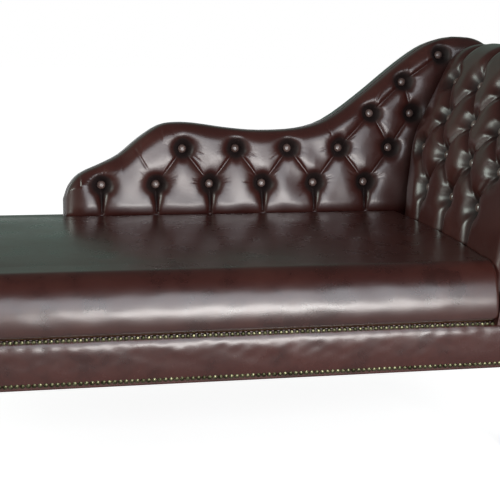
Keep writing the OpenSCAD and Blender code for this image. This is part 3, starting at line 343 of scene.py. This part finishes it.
# Border: a strip of the same leather over thin wadding, drawn tight round the rails between two rows of nails, so
# that it bellies out a little between them and puckers along the upper row. The rear, which stands to a wall, has
# the same strip and no nails.
border_leather = make_leather(
    "oxblood_leather_border", "#351410", "#3d1813", "#49221c", pull=0.04, coat=0.5, ior=1.43, gloss_low=0.22)
rail_h = base_high[2] - base_low[2]
nail_low, nail_high = 0.010, rail_h - 0.0055
belly = 0.0065
band_up = np.concatenate([
    np.linspace(0, nail_low, 5), np.linspace(nail_low, nail_high, 34)[1:], np.linspace(nail_high, rail_h, 4)[1:]])
across = np.clip((band_up - nail_low) / (nail_high - nail_low), 0, 1)
band_out = belly * (1 - np.abs(2 * across - 1) ** 3.2) ** 0.7 * (0.82 + 0.3 * across)
corner = np.linspace(0, math.pi / 2, 16)[1:-1]
side_x = np.linspace(base_r, base_l - base_r, 620)
side_y = np.linspace(base_r, base_d - base_r, 280)
ring = np.concatenate([
    np.stack([side_x, 0 * side_x], -1),
    np.stack([base_l - base_r + base_r * np.sin(corner), base_r - base_r * np.cos(corner)], -1),
    np.stack([0 * side_y + base_l, side_y], -1),
    np.stack([base_l - base_r + base_r * np.cos(corner), base_d - base_r + base_r * np.sin(corner)], -1),
    np.stack([side_x[::-1], 0 * side_x + base_d], -1),
    np.stack([base_r - base_r * np.sin(corner), base_d - base_r + base_r * np.cos(corner)], -1),
    np.stack([0 * side_y, side_y[::-1]], -1),
    np.stack([base_r - base_r * np.cos(corner), base_r - base_r * np.sin(corner)], -1)])
ring_way = np.roll(ring, -1, 0) - np.roll(ring, 1, 0)
ring_out = np.stack([ring_way[:, 1], -ring_way[:, 0]], -1) / np.linalg.norm(ring_way, axis=1, keepdims=True)
ring_gone = np.cumsum(np.linalg.norm(ring - np.roll(ring, 1, 0), axis=1))[:, None]
lumps = swells(ring_gone, band_up[None, :] * 2.2, 0.12, 8) * 0.0006
lumps = lumps + swells(ring_gone, band_up[None, :] * 2.0, 0.05, 9) * 0.0002
# Gathers at about every third nail, half a millimetre deep, that die out some 14 mm below the upper row
gather_pitch, gather_reach, gather_deep = 0.0333, 0.014, 0.0005
gather = np.sin(ring_gone * 2 * math.pi / gather_pitch)
gather = gather * np.exp(-((nail_high - band_up[None, :]) / gather_reach) ** 2) * gather_deep
out = band_out[None, :] + (lumps + gather) * np.sin(np.pi * across)[None, :] ** 0.6
outer = ring[:, None, :] + ring_out[:, None, :] * out[..., None]
outer = np.concatenate([outer, np.repeat(band_up[None, :, None], len(ring), 0)], -1)
# The strip's back stays a hair inside the leather's thickness, clear of the rails
strip_t = 0.0029
back_of = ring - ring_out * strip_t
inner_low = np.concatenate([back_of, np.zeros((len(ring), 1))], -1)[:, None, :]
inner_high = np.concatenate([back_of, np.full((len(ring), 1), rail_h)], -1)[:, None, :]
band = np.concatenate([inner_low, outer, inner_high, inner_low], 1)
band_faces = quads(*band.shape[:2], wrap=True)
border = make_piece("border_strip", band + [foot_x, front_y, base_low[2]], band_faces, border_leather)
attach(border, "root")
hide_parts("border_band")

# Nails: domed brass tacks, pressed from sheet and dipped to an antique finish, driven almost edge to edge. They are
# dark and greenish between, and each crown is rubbed bright enough to carry one small highlight.
brass, tree = start_material("antique_brass")
place = add_node(tree, "TexCoord").outputs["Object"]
# Tarnish changes from nail to nail, about every 11 mm
tarnish = add_node(tree, "TexNoise", {"Vector": place, "Scale": 95.0, "Detail": 2.0})
amount = add_node(tree, "MapRange", {"Value": tarnish.outputs[0], "From Min": 0.38, "From Max": 0.64})
metal = add_node(tree, "Mix", {0: amount.outputs[0], 6: linear("#3b3a29"), 7: linear("#77745a")}, data_type="RGBA")
dull = add_node(tree, "MapRange", {"Value": amount.outputs[0], "To Min": 0.34, "To Max": 0.26})
tack = add_node(
    tree, "BsdfPrincipled", {"Base Color": metal.outputs[2], "Metallic": 1.0, "Roughness": dull.outputs[0]})
add_node(tree, "OutputMaterial", {"Surface": tack.outputs[0]})


def dress(names, material):
    """Puts one material in every slot of the named CAD nodes."""
    for name in names:
        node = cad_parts[name]
        if not node.material_slots:
            node.data.materials.append(material)
        for slot in node.material_slots:
            slot.material = material


dress(["upper_nails", "lower_nails", "facing_nails"], brass)

# Back rest: a leaning, swooping pad of leather over curled hair, deep buttoned. Each button pulls a funnel into it,
# folded pleats run from button to button and down to the seat, and fine gathers fan over the top edge.
pad_t = 0.050
back_lean = math.radians(8)
head_lean, head_rake = math.radians(7), math.radians(28)
head_low_h, head_bend_r, head_upper_l, roll_r, head_t = 0.145, 0.300, 0.140, 0.095, 0.144
head_tuck = seat_top - base_high[2] - 0.006
low_start = np.array([-head_tuck * math.tan(head_lean), -head_tuck])
low_end = np.array([head_low_h * math.tan(head_lean), head_low_h])
low_len = float(np.linalg.norm(low_end - low_start))
bend_len = head_bend_r * (head_rake - head_lean)
roll_start = low_len + bend_len + head_upper_l


def face_out(lean):
    """Unit vector out of a face that leans back by an angle, as [along the couch, up]."""
    return np.stack([-np.cos(lean), np.sin(lean)], -1)


bend_centre = low_end - head_bend_r * face_out(head_lean)
upper_start = bend_centre + head_bend_r * face_out(head_rake)
upper_end = upper_start + head_upper_l * np.array([math.sin(head_rake), math.cos(head_rake)])
roll_centre = upper_end - roll_r * face_out(head_rake)


def face_lean(s):
    """Lean of the head rest's face at an arc length: straight, bend, straight, then round the roll."""
    lean = head_lean + np.clip(s - low_len, 0, bend_len) / head_bend_r
    return lean + np.maximum(s - roll_start, 0) / roll_r


def face_point(s):
    """Point of the head rest's face at an arc length, as [past the seat's end, above the seat]."""
    s = np.asarray(s, float)[..., None]
    low = low_start + s * np.array([math.sin(head_lean), math.cos(head_lean)])
    bend = bend_centre + head_bend_r * face_out(face_lean(s[..., 0]))
    upper = upper_start + (s - low_len - bend_len) * np.array([math.sin(head_rake), math.cos(head_rake)])
    roll = roll_centre + roll_r * face_out(face_lean(s[..., 0]))
    return np.where(s < low_len, low, np.where(s < low_len + bend_len, bend, np.where(s < roll_start, upper, roll)))


def behind_face(s, depth):
    """Point at a depth square behind the face."""
    return face_point(s) - np.asarray(depth)[..., None] * face_out(face_lean(np.asarray(s, float)))


# The crest's knots are shares of its length and height. It ends in a circle round the head rest's roll
back_h = roll_centre[1] + roll_r + 0.010
scroll_r = roll_r + 0.008
crest_span = back_l + roll_centre[0]
crest_shares = np.array([
    [0, 0.075], [0.012, 0.15], [0.037, 0.215], [0.085, 0.267], [0.132, 0.322], [0.18, 0.413], [0.229, 0.485],
    [0.265, 0.499], [0.311, 0.495], [0.394, 0.468], [0.474, 0.454], [0.574, 0.468], [0.642, 0.516], [0.728, 0.652],
    [0.833, 0.845], [0.893, 0.939], [0.938, 0.982], [0.975, 0.996], [1.0, (roll_centre[1] + scroll_r) / back_h]])
crest_x = crest_shares[:, 0] * crest_span - back_l
crest_z = crest_shares[:, 1] * back_h
crest_rise = np.append(crest_z[1:], crest_z[-1]) - np.append(crest_z[0], crest_z[:-1])
crest_run = np.append(crest_x[1:], crest_x[-1]) - np.append(crest_x[0], crest_x[:-1])
crest_slope = crest_rise / crest_run


def crest_at(x):
    """Height and slope of the crest: a cubic through the knots, each with the slope of its two neighbours, and then
    the circle of the scroll past its centre."""
    k = np.clip(np.searchsorted(crest_x, x) - 1, 0, len(crest_x) - 2)
    run = crest_x[k + 1] - crest_x[k]
    t = np.clip((x - crest_x[k]) / run, 0, 1)
    a, b, sa, sb = crest_z[k], crest_z[k + 1], crest_slope[k] * run, crest_slope[k + 1] * run
    value = a * (1 + 2 * t) * (1 - t) ** 2 + b * t ** 2 * (3 - 2 * t) + sa * t * (1 - t) ** 2 - sb * t ** 2 * (1 - t)
    past = np.clip(x - roll_centre[0], 0, scroll_r * 0.99)
    drop = np.sqrt(scroll_r ** 2 - past ** 2)
    return np.where(past > 0, roll_centre[1] + drop, value), np.where(past > 0, -past / drop, (b - a) / run)


def up_lean(height):
    """Distance up the leaning board of a height over the seat."""
    return (height + pad_t * math.sin(back_lean)) / math.cos(back_lean)


def on_back(x, y, z):
    """Row-frame point of a place on the leaning board: x from the head line, y up the lean, z towards the sitter."""
    far = z - pad_t
    return np.stack([
        foot_x + seat_l + x,
        front_y + seat_d + y * math.sin(back_lean) - far * math.cos(back_lean),
        seat_top + y * math.cos(back_lean) + far * math.sin(back_lean)], -1)


# Two rows of buttons, by pitch, and four that climb the swoop, by shares of the crest's length and height
button_pitch, row_pitch = 0.132, 0.085
first_button = np.array([0.087 - back_l, 0.066])
low_count = 6
row_shares = np.array([[k, 0] for k in range(low_count)] + [[k + 1.5, 1] for k in range(low_count - 1)])
climb_shares = np.array([[0.748, 0.545], [0.853, 0.545], [0.832, 0.725], [0.929, 0.882]])
back_buttons = np.concatenate([
    first_button + row_shares * [button_pitch, row_pitch], climb_shares * [crest_span, back_h] - [back_l, 0]])
back_buttons[:, 1] = up_lean(back_buttons[:, 1])
pleat_pairs = [
    (1, 6), (2, 6), (2, 7), (3, 7), (3, 8), (4, 8), (4, 9), (5, 9), (5, 10), (9, 11), (10, 11), (10, 12),
    (11, 13), (12, 13), (13, 14)]
crest_pleats = [0, 1, 6, 7, 8, 9, 11, 13, 14]

pillow_reach = 0.050
pit_depth, button_r = 0.0275, 0.011
# A pleat's depth in its middle and what its ends have more, and the reach of its steep and of its slow side
pleat_deep, pleat_more, pleat_steep, pleat_slow = 0.0036, 0.0060, 0.0024, 0.0060
# A wedge's depth and width at the seam, and what each has more at the pit
wedge_deep, wedge_more, wedge_w, wedge_wider = 0.0100, 0.0140, 0.0050, 0.0200


def along_line(px, py, a, b):
    """Share along a line, distance from it and side of it, for every point."""
    run = b - a
    length = math.hypot(*run)
    t = np.clip(((px - a[0]) * run[0] + (py - a[1]) * run[1]) / length ** 2, 0, 1)
    dx, dy = px - a[0] - run[0] * t, py - a[1] - run[1] * t
    side = np.sign((px - a[0]) * run[1] - (py - a[1]) * run[0])
    return t, np.hypot(dx, dy), side


def tufting(px, py, buttons, pleats, seams, fans, plump, pit_w, pit_round, matt_from):
    """Depth of the folds and of the pits below the pillows, in metres, and how worn each point is, from 0 to 1, with
    painted shade in its hollows. A pleat is a narrow lap, steep on one side, and the pillows round down to it by
    their plumpness over the pillow's reach. A wedge closes from a pit towards a seam. A pit is flat under its button
    and then falls away as exp(-(r / pit_w)^pit_round). Fine creases fan out from pits and over an edge. Pits that are
    deeper than about matt_from, and folds, aren't worn: their dark colour is partly stain and partly painted shade."""
    near = np.ones_like(px)
    fold = np.zeros_like(px)
    for k, (a, b) in enumerate(pleats):
        t, dist, side = along_line(px, py, a, b)
        end = np.abs(2 * t - 1)
        lap = np.where(side * (1 if k % 2 else -1) > 0, pleat_steep, pleat_slow)
        sharp = (pleat_deep + pleat_more * end ** 2) * np.exp(-(dist / lap) ** 1.1)
        fold = np.maximum(fold, sharp)
        near = np.minimum(near, dist / pillow_reach)
    for a, b in seams:
        t, dist, side = along_line(px, py, a, b)
        width = wedge_w + wedge_wider * (1 - t) ** 1.5
        wedge = (wedge_deep + wedge_more * (1 - t) ** 1.3) * np.exp(-(dist / (0.62 * width)) ** 1.25)
        fold = np.maximum(fold, wedge)
        near = np.minimum(near, dist / pillow_reach)
    fold = fold + plump * (1 - np.sqrt(1 - (1 - np.maximum(near, 0.06)) ** 2.2))
    crease = np.zeros_like(px)
    for k, (a, reach) in enumerate(fans):
        dice = np.random.default_rng(40 + k)
        # Four creases fan out to a near edge, and one goes to a far one
        for turn in (-0.40, -0.12, 0.14, 0.42) if reach < 0.065 else (-0.60,):
            turn = turn + dice.uniform(-0.07, 0.07)
            b = a + (reach + 0.01) * np.array([math.sin(turn), math.cos(turn)])
            t, dist, side = along_line(px, py, a, b)
            size = dice.uniform(0.0012, 0.0026) * np.clip(t * 5 - 0.9, 0, 1) * (1 - 0.5 * t)
            crease = np.maximum(crease, size * np.exp(-(dist / np.where(side > 0, 0.0020, 0.0036)) ** 1.4))
    pit = np.zeros_like(px)
    for k, spot in enumerate(buttons):
        dx, dy = px - spot[0], py - spot[1]
        r, turn = np.hypot(dx, dy), np.arctan2(dy, dx)
        dice = np.random.default_rng(70 + k)
        uneven = 0.06 * np.sin(2 * turn + dice.uniform(0, 6)) + 0.04 * np.sin(5 * turn + dice.uniform(0, 6))
        wide = pit_w * (1 + uneven)
        pit = np.maximum(pit, pit_depth * np.exp(-(np.maximum(r - button_r, 0) / wide) ** pit_round))
        # Twelve short creases leave the pit, six to each side
        for way in np.concatenate([dice.uniform(-0.75, 0.75, 6), math.pi + dice.uniform(-0.75, 0.75, 6)]):
            tip = spot + dice.uniform(0.040, 0.058) * np.array([math.cos(way), math.sin(way)])
            t, dist, side = along_line(px, py, spot, tip)
            size = dice.uniform(0.0005, 0.0012) * np.clip((t - 0.35) * 5, 0, 1) * np.clip((1 - t) * 4, 0, 1)
            crease = np.maximum(crease, size * np.exp(-(dist / 0.0019) ** 1.6))
    # Low values darken pits and folds with the deep colour, partly stain and partly painted shade
    wear_and_shade = np.clip(1.25 - pit / matt_from, 0, 1) * np.clip(1.5 - (fold - plump * (1 - near)) / 0.006, 0, 1)
    return fold + crease, pit, wear_and_shade


def rounded(dist, radius):
    """Soft quarter round from 0 at the edge to 1 at the radius and beyond, sqrt(1 - (1 - d / r)^2.3)."""
    return np.sqrt(np.maximum(1 - (1 - np.clip(dist / radius, 0, 1)) ** 2.3, 0))


def grid_rim(cols, rows):
    """Point numbers once round the edge of a grid of cols x rows points."""
    return np.concatenate([
        np.arange(cols) * rows, (cols - 1) * rows + np.arange(1, rows),
        np.arange(cols - 2, -1, -1) * rows + rows - 1, np.arange(rows - 2, 0, -1)])


# The pad's lower edge follows the seat, and then the outer line of the head rest that it closes
pad_rim, pad_in, crest_round, foot_round, tuck = 0.007, 0.002, 0.042, 0.066, 0.042
roll_wrap = math.pi + math.acos((head_t - roll_r) / roll_r) - math.radians(9)
panel_top = roll_start - (roll_r - pad_t + 0.030) * math.sin(roll_wrap - math.pi) - fit_gap
panel_s = np.concatenate([[low_len], low_len + bend_len * np.arange(1, 9) / 8, [panel_top]])
panel_line = behind_face(panel_s, np.full(len(panel_s), head_t))
panel_foot = panel_line[0] - np.array([(panel_line[0][1] + tuck) * math.tan(head_lean), panel_line[0][1] + tuck])
scroll_turn = np.linspace(-1.25, -0.1, 12)[:, None]
scroll_low = roll_centre + scroll_r * np.concatenate([np.cos(scroll_turn), np.sin(scroll_turn)], 1)
panel_line = np.concatenate([[panel_foot], panel_line, scroll_low])
margin = 0.009
cols, rows = 600, 190
pad_x = np.linspace(-back_l + pad_in, roll_centre[0] + 0.8 * scroll_r, cols)
low = np.interp(pad_x + margin, panel_line[:, 0], panel_line[:, 1]) + margin
low = np.where(pad_x < panel_foot[0] - margin, -tuck, np.maximum(-tuck, low))
crest, crest_way = crest_at(pad_x)
pad_low, pad_high = up_lean(low), up_lean(crest - pad_in)
px = np.repeat(pad_x[:, None], rows, 1)
share = np.linspace(0, 1, rows) ** 0.93
py = pad_low[:, None] + (pad_high - pad_low)[:, None] * share[None, :]
pleats = [(back_buttons[a], back_buttons[b]) for a, b in pleat_pairs]
seams = [(back_buttons[k], np.array([back_buttons[k][0], up_lean(0)])) for k in range(low_count)]
fans = [(back_buttons[k], up_lean(crest_at(back_buttons[k][0])[0]) - back_buttons[k][1]) for k in crest_pleats]
fold, pit, wear_and_shade = tufting(
    px, py, back_buttons, pleats, seams, fans, plump=0.0060, pit_w=0.0105, pit_round=1.1, matt_from=0.008)
fall = (fold ** 4 + pit ** 4 + 1e-15) ** 0.25
edge = (pad_high[:, None] - py) / np.sqrt(1 + crest_way[:, None] ** 2)
edge = np.minimum(edge, (px + back_l - pad_in) * crest_round / foot_round)
over = np.clip(edge / 0.012, 0, 1)
foot_in = 0.009 * np.clip(0.62 - (py - up_lean(0)) / 0.034, 0, 1) ** 2
stuffing_lump = 0.0012
lumps = stuffing_lump * swells(px, py, 0.11, 12)
thick = (pad_t - pad_rim - fall * over - foot_in + lumps) * rounded(edge, crest_round) ** 0.9
thick = pad_rim + thick - np.maximum(-py, 0) * math.tan(back_lean)
front = on_back(px, py, thick)
rim = grid_rim(cols, rows)
rear = on_back(px.ravel()[rim], py.ravel()[rim], np.full(len(rim), fit_gap))
behind = cols * rows + np.arange(len(rim))
walls = np.stack([rim, np.roll(rim, -1), np.roll(behind, -1), behind], -1).tolist()
# The tufted hide's deep colour goes into its folds, pits and the gap by the back rest, partly as stain and partly as
# painted shade
tufted_leather = make_leather("oxblood_leather_tufted", "#1d0b09", "#3a1915", "#48241e", rub="wear_and_shade", pull=0.06)
back_pad = make_piece(
    "back_tufting", np.concatenate([front.reshape(-1, 3), rear]), quads(cols, rows) + walls + [behind.tolist()],
    tufted_leather, wear_and_shade=np.concatenate([wear_and_shade.ravel(), wear_and_shade.ravel()[rim]]))
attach(back_pad, "root")
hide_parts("back_pad")

# Buttons: domed metal shells covered with the same leather, drawn in by twine. The leather is stretched thin and
# polished by touch. It is painted paler than the pit round it, a painted sheen for the dome, and carries a small
# highlight.
button_leather = make_leather("oxblood_leather_button", "#4c3832", "#604b45", "#705c56", coat=1.0)
dress(["back_buttons", "head_buttons"], button_leather)

# Outside of the back and of the head rest, and the head rest's front: flat panels of the same hide, tacked over the
# boards and turned under at their edges. They are hardly touched, so they take less of a polish than the seat.
panel_leather = make_leather("oxblood_leather_panel", "#2b110e", "#3a1915", "#4b2620")
dress(["outside_back", "head_outer_panel", "facing_cover"], panel_leather)

# Head rest: the same deep buttoning on a face that rakes back and rolls over the top, stuffed fuller than the back.
# It is drawn in to a firm edge at its front, and falls away gently towards the back rest.
facing_t, facing_over = 0.015, 0.045
head_front = leather_t + facing_t - facing_over + fit_gap
thin_turn, thin_t = math.radians(110), 0.030
face_len = roll_start + roll_r * roll_wrap
cols, rows = 400, 240
hs = np.repeat(np.linspace(0, face_len, cols)[:, None], rows, 1)
low_y = np.minimum(face_point(hs)[..., 1], behind_face(hs, np.full_like(hs, pad_t))[..., 1])
back_of_head = seat_d + math.tan(back_lean) * low_y - head_clear
hy = head_front + (back_of_head - head_front) * np.linspace(0, 1, rows)[None, :]
# Rows of three and four buttons in turn, half a pitch apart
head_first_y, head_button_pitch, head_row_start, head_row_pitch = 0.090, 0.147, 0.086, 0.091
head_rows = [
    np.array([[head_first_y + head_button_pitch * (k + (0.5, 0)[row % 2]),
               head_tuck + head_row_start + row * head_row_pitch] for k in range((3, 4)[row % 2])])
    for row in range(4)]
pleats = [(a, b) for low_row, high_row in zip(head_rows, head_rows[1:])
          for a in low_row for b in high_row if abs(a[0] - b[0]) < head_button_pitch]
over_roll, fan_reach = 0.16, 0.09
pleats += [(a, np.array([a[0], roll_start + over_roll])) for a in head_rows[3]]
seams = [(a, np.array([a[0], head_tuck])) for a in head_rows[0]]
fans = [(a, fan_reach) for a in head_rows[3]]
fold, pit, wear_and_shade = tufting(
    hy, hs, np.concatenate(head_rows), pleats, seams, fans,
    plump=0.0220, pit_w=0.0225, pit_round=1.45, matt_from=0.021)
# The stuffing thins from the crown of the roll to its underside
thin = np.maximum(face_lean(hs) - head_rake - thin_turn, 0) / (roll_wrap - thin_turn)
full = pad_t + (thin_t - pad_t) * thin - np.maximum(head_tuck - hs, 0) * math.tan(head_lean)
near, far = hy - head_front, back_of_head - hy
front_rim, back_rim, head_round, rear_round = pad_t - 0.014, 0.010, 0.030, 0.180
near_up = np.minimum(front_rim, full) + np.maximum(full - front_rim, 0) * rounded(near, head_round)
far_up = np.minimum(back_rim, full) + np.maximum(full - back_rim, 0) * rounded(far, rear_round)
# Folds and pits fade out over the roll and at the two edges
fade = np.clip((face_lean(hs) - head_rake) / thin_turn, 0, 1)
over = rounded(np.minimum(near, far), head_round) * (1 - fade)
thick = np.minimum(near_up, far_up) - fold * over + stuffing_lump * swells(hy, hs, 0.11, 14) * over
fall, pit_fall = np.maximum(pad_t - thick, 0), np.maximum(pad_t - full + pit * over, 0)
thick = pad_t - (fall ** 5 + pit_fall ** 5 + 1e-15) ** 0.2


def on_head(depth):
    """Row-frame points of the head rest's grid at a depth behind its face."""
    spot = behind_face(hs, depth)
    return np.stack([foot_x + seat_l + spot[..., 0], front_y + hy, seat_top + spot[..., 1]], -1).reshape(-1, 3)


rim = grid_rim(cols, rows)
behind = cols * rows + np.arange(cols * rows)
walls = np.stack([rim, np.roll(rim, -1), behind[np.roll(rim, -1)], behind[rim]], -1).tolist()
lines = behind.reshape(cols, rows)
linings = np.concatenate([lines[:-1], lines[1:, ::-1]], 1).tolist()
# The roll is rubbed all over, and the strip beside the back rest is painted darker and duller towards the back
# rest: painted shade of the gap between the two pads
lining_t, gap_shade_reach = 0.0018, 0.10
wear_and_shade = (wear_and_shade * over + (1 - over) * 0.9) * (0.45 + 0.55 * np.clip(far / gap_shade_reach - 0.2, 0, 1))
head_pad = make_piece(
    "head_tufting", np.concatenate([on_head(pad_t - thick), on_head(np.full_like(hs, pad_t - lining_t))]),
    quads(cols, rows) + walls + linings, tufted_leather, wear_and_shade=np.tile(wear_and_shade.ravel(), 2))
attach(head_pad, "root")
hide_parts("head_pad")

# Legs: turned beech, screwed up into the corner blocks, stained to dark mahogany and French polished. The stain
# gathers in the grain, and the shellac over it is thin, clear and bright.
polish, tree = start_material("mahogany_polish")
place = add_node(tree, "TexCoord").outputs["Object"]
# Grain runs up the leg: lines about 3 mm apart, drawn out 12 times along it
drawn = add_node(tree, "Mapping", {"Vector": place, "Scale": (330.0, 330.0, 26.0)})
lines = add_node(tree, "TexNoise", {"Vector": drawn.outputs[0], "Scale": 1.0, "Detail": 3.0, "Roughness": 0.6})
streak = add_node(tree, "MapRange", {"Value": lines.outputs[0], "From Min": 0.35, "From Max": 0.68})
timber = add_node(tree, "Mix", {0: streak.outputs[0], 6: linear("#260f09"), 7: linear("#4f2414")}, data_type="RGBA")
bump = add_node(tree, "Bump", {"Height": lines.outputs[0], "Strength": 0.1, "Distance": 0.0004})
finish = add_node(tree, "BsdfPrincipled", {
    "Base Color": timber.outputs[2], "Roughness": 0.34, "Coat Weight": 0.6, "Coat Roughness": 0.12,
    "Normal": bump.outputs[0]})
add_node(tree, "OutputMaterial", {"Surface": finish.outputs[0]})
dress(["leg_foot_front", "leg_foot_rear", "leg_head_front", "leg_head_rear"], polish)

# Frame timber: sawn beech rails, posts, ribs, blocks and dowels, and birch ply boards, glued, dowelled and hidden
# under the leather. The saw leaves it pale, matt and slightly furry along the grain.
beech, tree = start_material("sawn_beech")
place = add_node(tree, "TexCoord").outputs["Object"]
# Grain lines about 6 mm apart, drawn out along the couch
drawn = add_node(tree, "Mapping", {"Vector": place, "Scale": (12.0, 160.0, 160.0)})
lines = add_node(tree, "TexNoise", {"Vector": drawn.outputs[0], "Scale": 1.0, "Detail": 4.0, "Roughness": 0.65})
streak = add_node(tree, "MapRange", {"Value": lines.outputs[0], "From Min": 0.3, "From Max": 0.7})
timber = add_node(tree, "Mix", {0: streak.outputs[0], 6: linear("#a9835a"), 7: linear("#cfae84")}, data_type="RGBA")
bump = add_node(tree, "Bump", {"Height": lines.outputs[0], "Strength": 0.25, "Distance": 0.0006})
sawn = add_node(
    tree, "BsdfPrincipled", {"Base Color": timber.outputs[2], "Roughness": 0.7, "Normal": bump.outputs[0]})
add_node(tree, "OutputMaterial", {"Surface": sawn.outputs[0]})
dress([
    "front_rail", "rear_rail", "foot_rail", "head_rail", "cross_rails", "rail_dowels", "corner_blocks",
    "back_posts", "back_board", "head_ribs", "head_slats", "head_liner", "top_roll", "head_facing"], beech)

# Hardware: zinc-plated hanger bolts and nuts, and zigzag seat springs hooked into folded steel clips on the rails.
# The plating is a cool, soft-edged metal grey that changes a little from crystal to crystal.
steel, tree = start_material("zinc_plated_steel")
place = add_node(tree, "TexCoord").outputs["Object"]
# Spangle of the plating, patches about 5 mm across
spangle = add_node(tree, "TexNoise", {"Vector": place, "Scale": 200.0, "Detail": 2.0})
plate = add_node(tree, "Mix", {0: spangle.outputs[0], 6: linear("#8b8d90"), 7: linear("#b9bbbe")}, data_type="RGBA")
dull = add_node(tree, "MapRange", {"Value": spangle.outputs[0], "To Min": 0.28, "To Max": 0.45})
zinc = add_node(
    tree, "BsdfPrincipled", {"Base Color": plate.outputs[2], "Metallic": 1.0, "Roughness": dull.outputs[0]})
add_node(tree, "OutputMaterial", {"Surface": zinc.outputs[0]})
dress(["leg_bolts", "leg_nuts", "seat_springs", "spring_clips"], steel)

# Glides: moulded black nylon pads, pressed into the legs' ends, with a fine spark-eroded texture that leaves them
# an even, low-sheen black.
nylon, tree = start_material("black_nylon")
place = add_node(tree, "TexCoord").outputs["Object"]
# Texture pits about 1 mm apart
pits = add_node(tree, "TexNoise", {"Vector": place, "Scale": 900.0, "Detail": 2.0})
shade = add_node(tree, "Mix", {0: pits.outputs[0], 6: linear("#1c1c1d"), 7: linear("#2d2d2e")}, data_type="RGBA")
bump = add_node(tree, "Bump", {"Height": pits.outputs[0], "Strength": 0.2, "Distance": 0.0003})
pad = add_node(
    tree, "BsdfPrincipled", {"Base Color": shade.outputs[2], "Roughness": 0.55, "Normal": bump.outputs[0]})
add_node(tree, "OutputMaterial", {"Surface": pad.outputs[0]})
dress(["leg_glides"], nylon)


# Hessian over the springs, black dust cloth stapled under the base, and the waxed twine of the button ties: plain
# woven or laid vegetable and polyester thread, all matt and dusty.
def make_cloth(name, dark, pale, thread):
    """Plain weave: two square sets of threads at the given spacing, multiplied, with a dusty matt fibre."""
    material, tree = start_material(name)
    place = add_node(tree, "TexCoord").outputs["Object"]
    # A wave texture repeats 20 / (2 pi) times a metre at scale 1
    turns = 2 * math.pi / thread / 20
    warp = add_node(tree, "TexWave", {"Vector": place, "Scale": turns}, bands_direction="X")
    weft = add_node(tree, "TexWave", {"Vector": place, "Scale": turns}, bands_direction="Y")
    weave = add_node(tree, "Math", {0: warp.outputs["Fac"], 1: weft.outputs["Fac"]}, operation="MULTIPLY")
    shade = add_node(tree, "Mix", {0: weave.outputs[0], 6: linear(dark), 7: linear(pale)}, data_type="RGBA")
    bump = add_node(tree, "Bump", {"Height": weave.outputs[0], "Strength": 0.4, "Distance": thread / 4})
    fibre = add_node(
        tree, "BsdfPrincipled", {"Base Color": shade.outputs[2], "Roughness": 0.85, "Normal": bump.outputs[0]})
    add_node(tree, "OutputMaterial", {"Surface": fibre.outputs[0]})
    return material


dress(["spring_hessian"], make_cloth("jute_hessian", "#6f5836", "#a88a5c", 0.0022))
dress(["dust_cloth"], make_cloth("black_dust_cloth", "#0d0d0e", "#1e1e20", 0.0012))
dress(["back_ties", "head_ties"], make_cloth("waxed_twine", "#9c8a68", "#d0c09a", 0.0010))
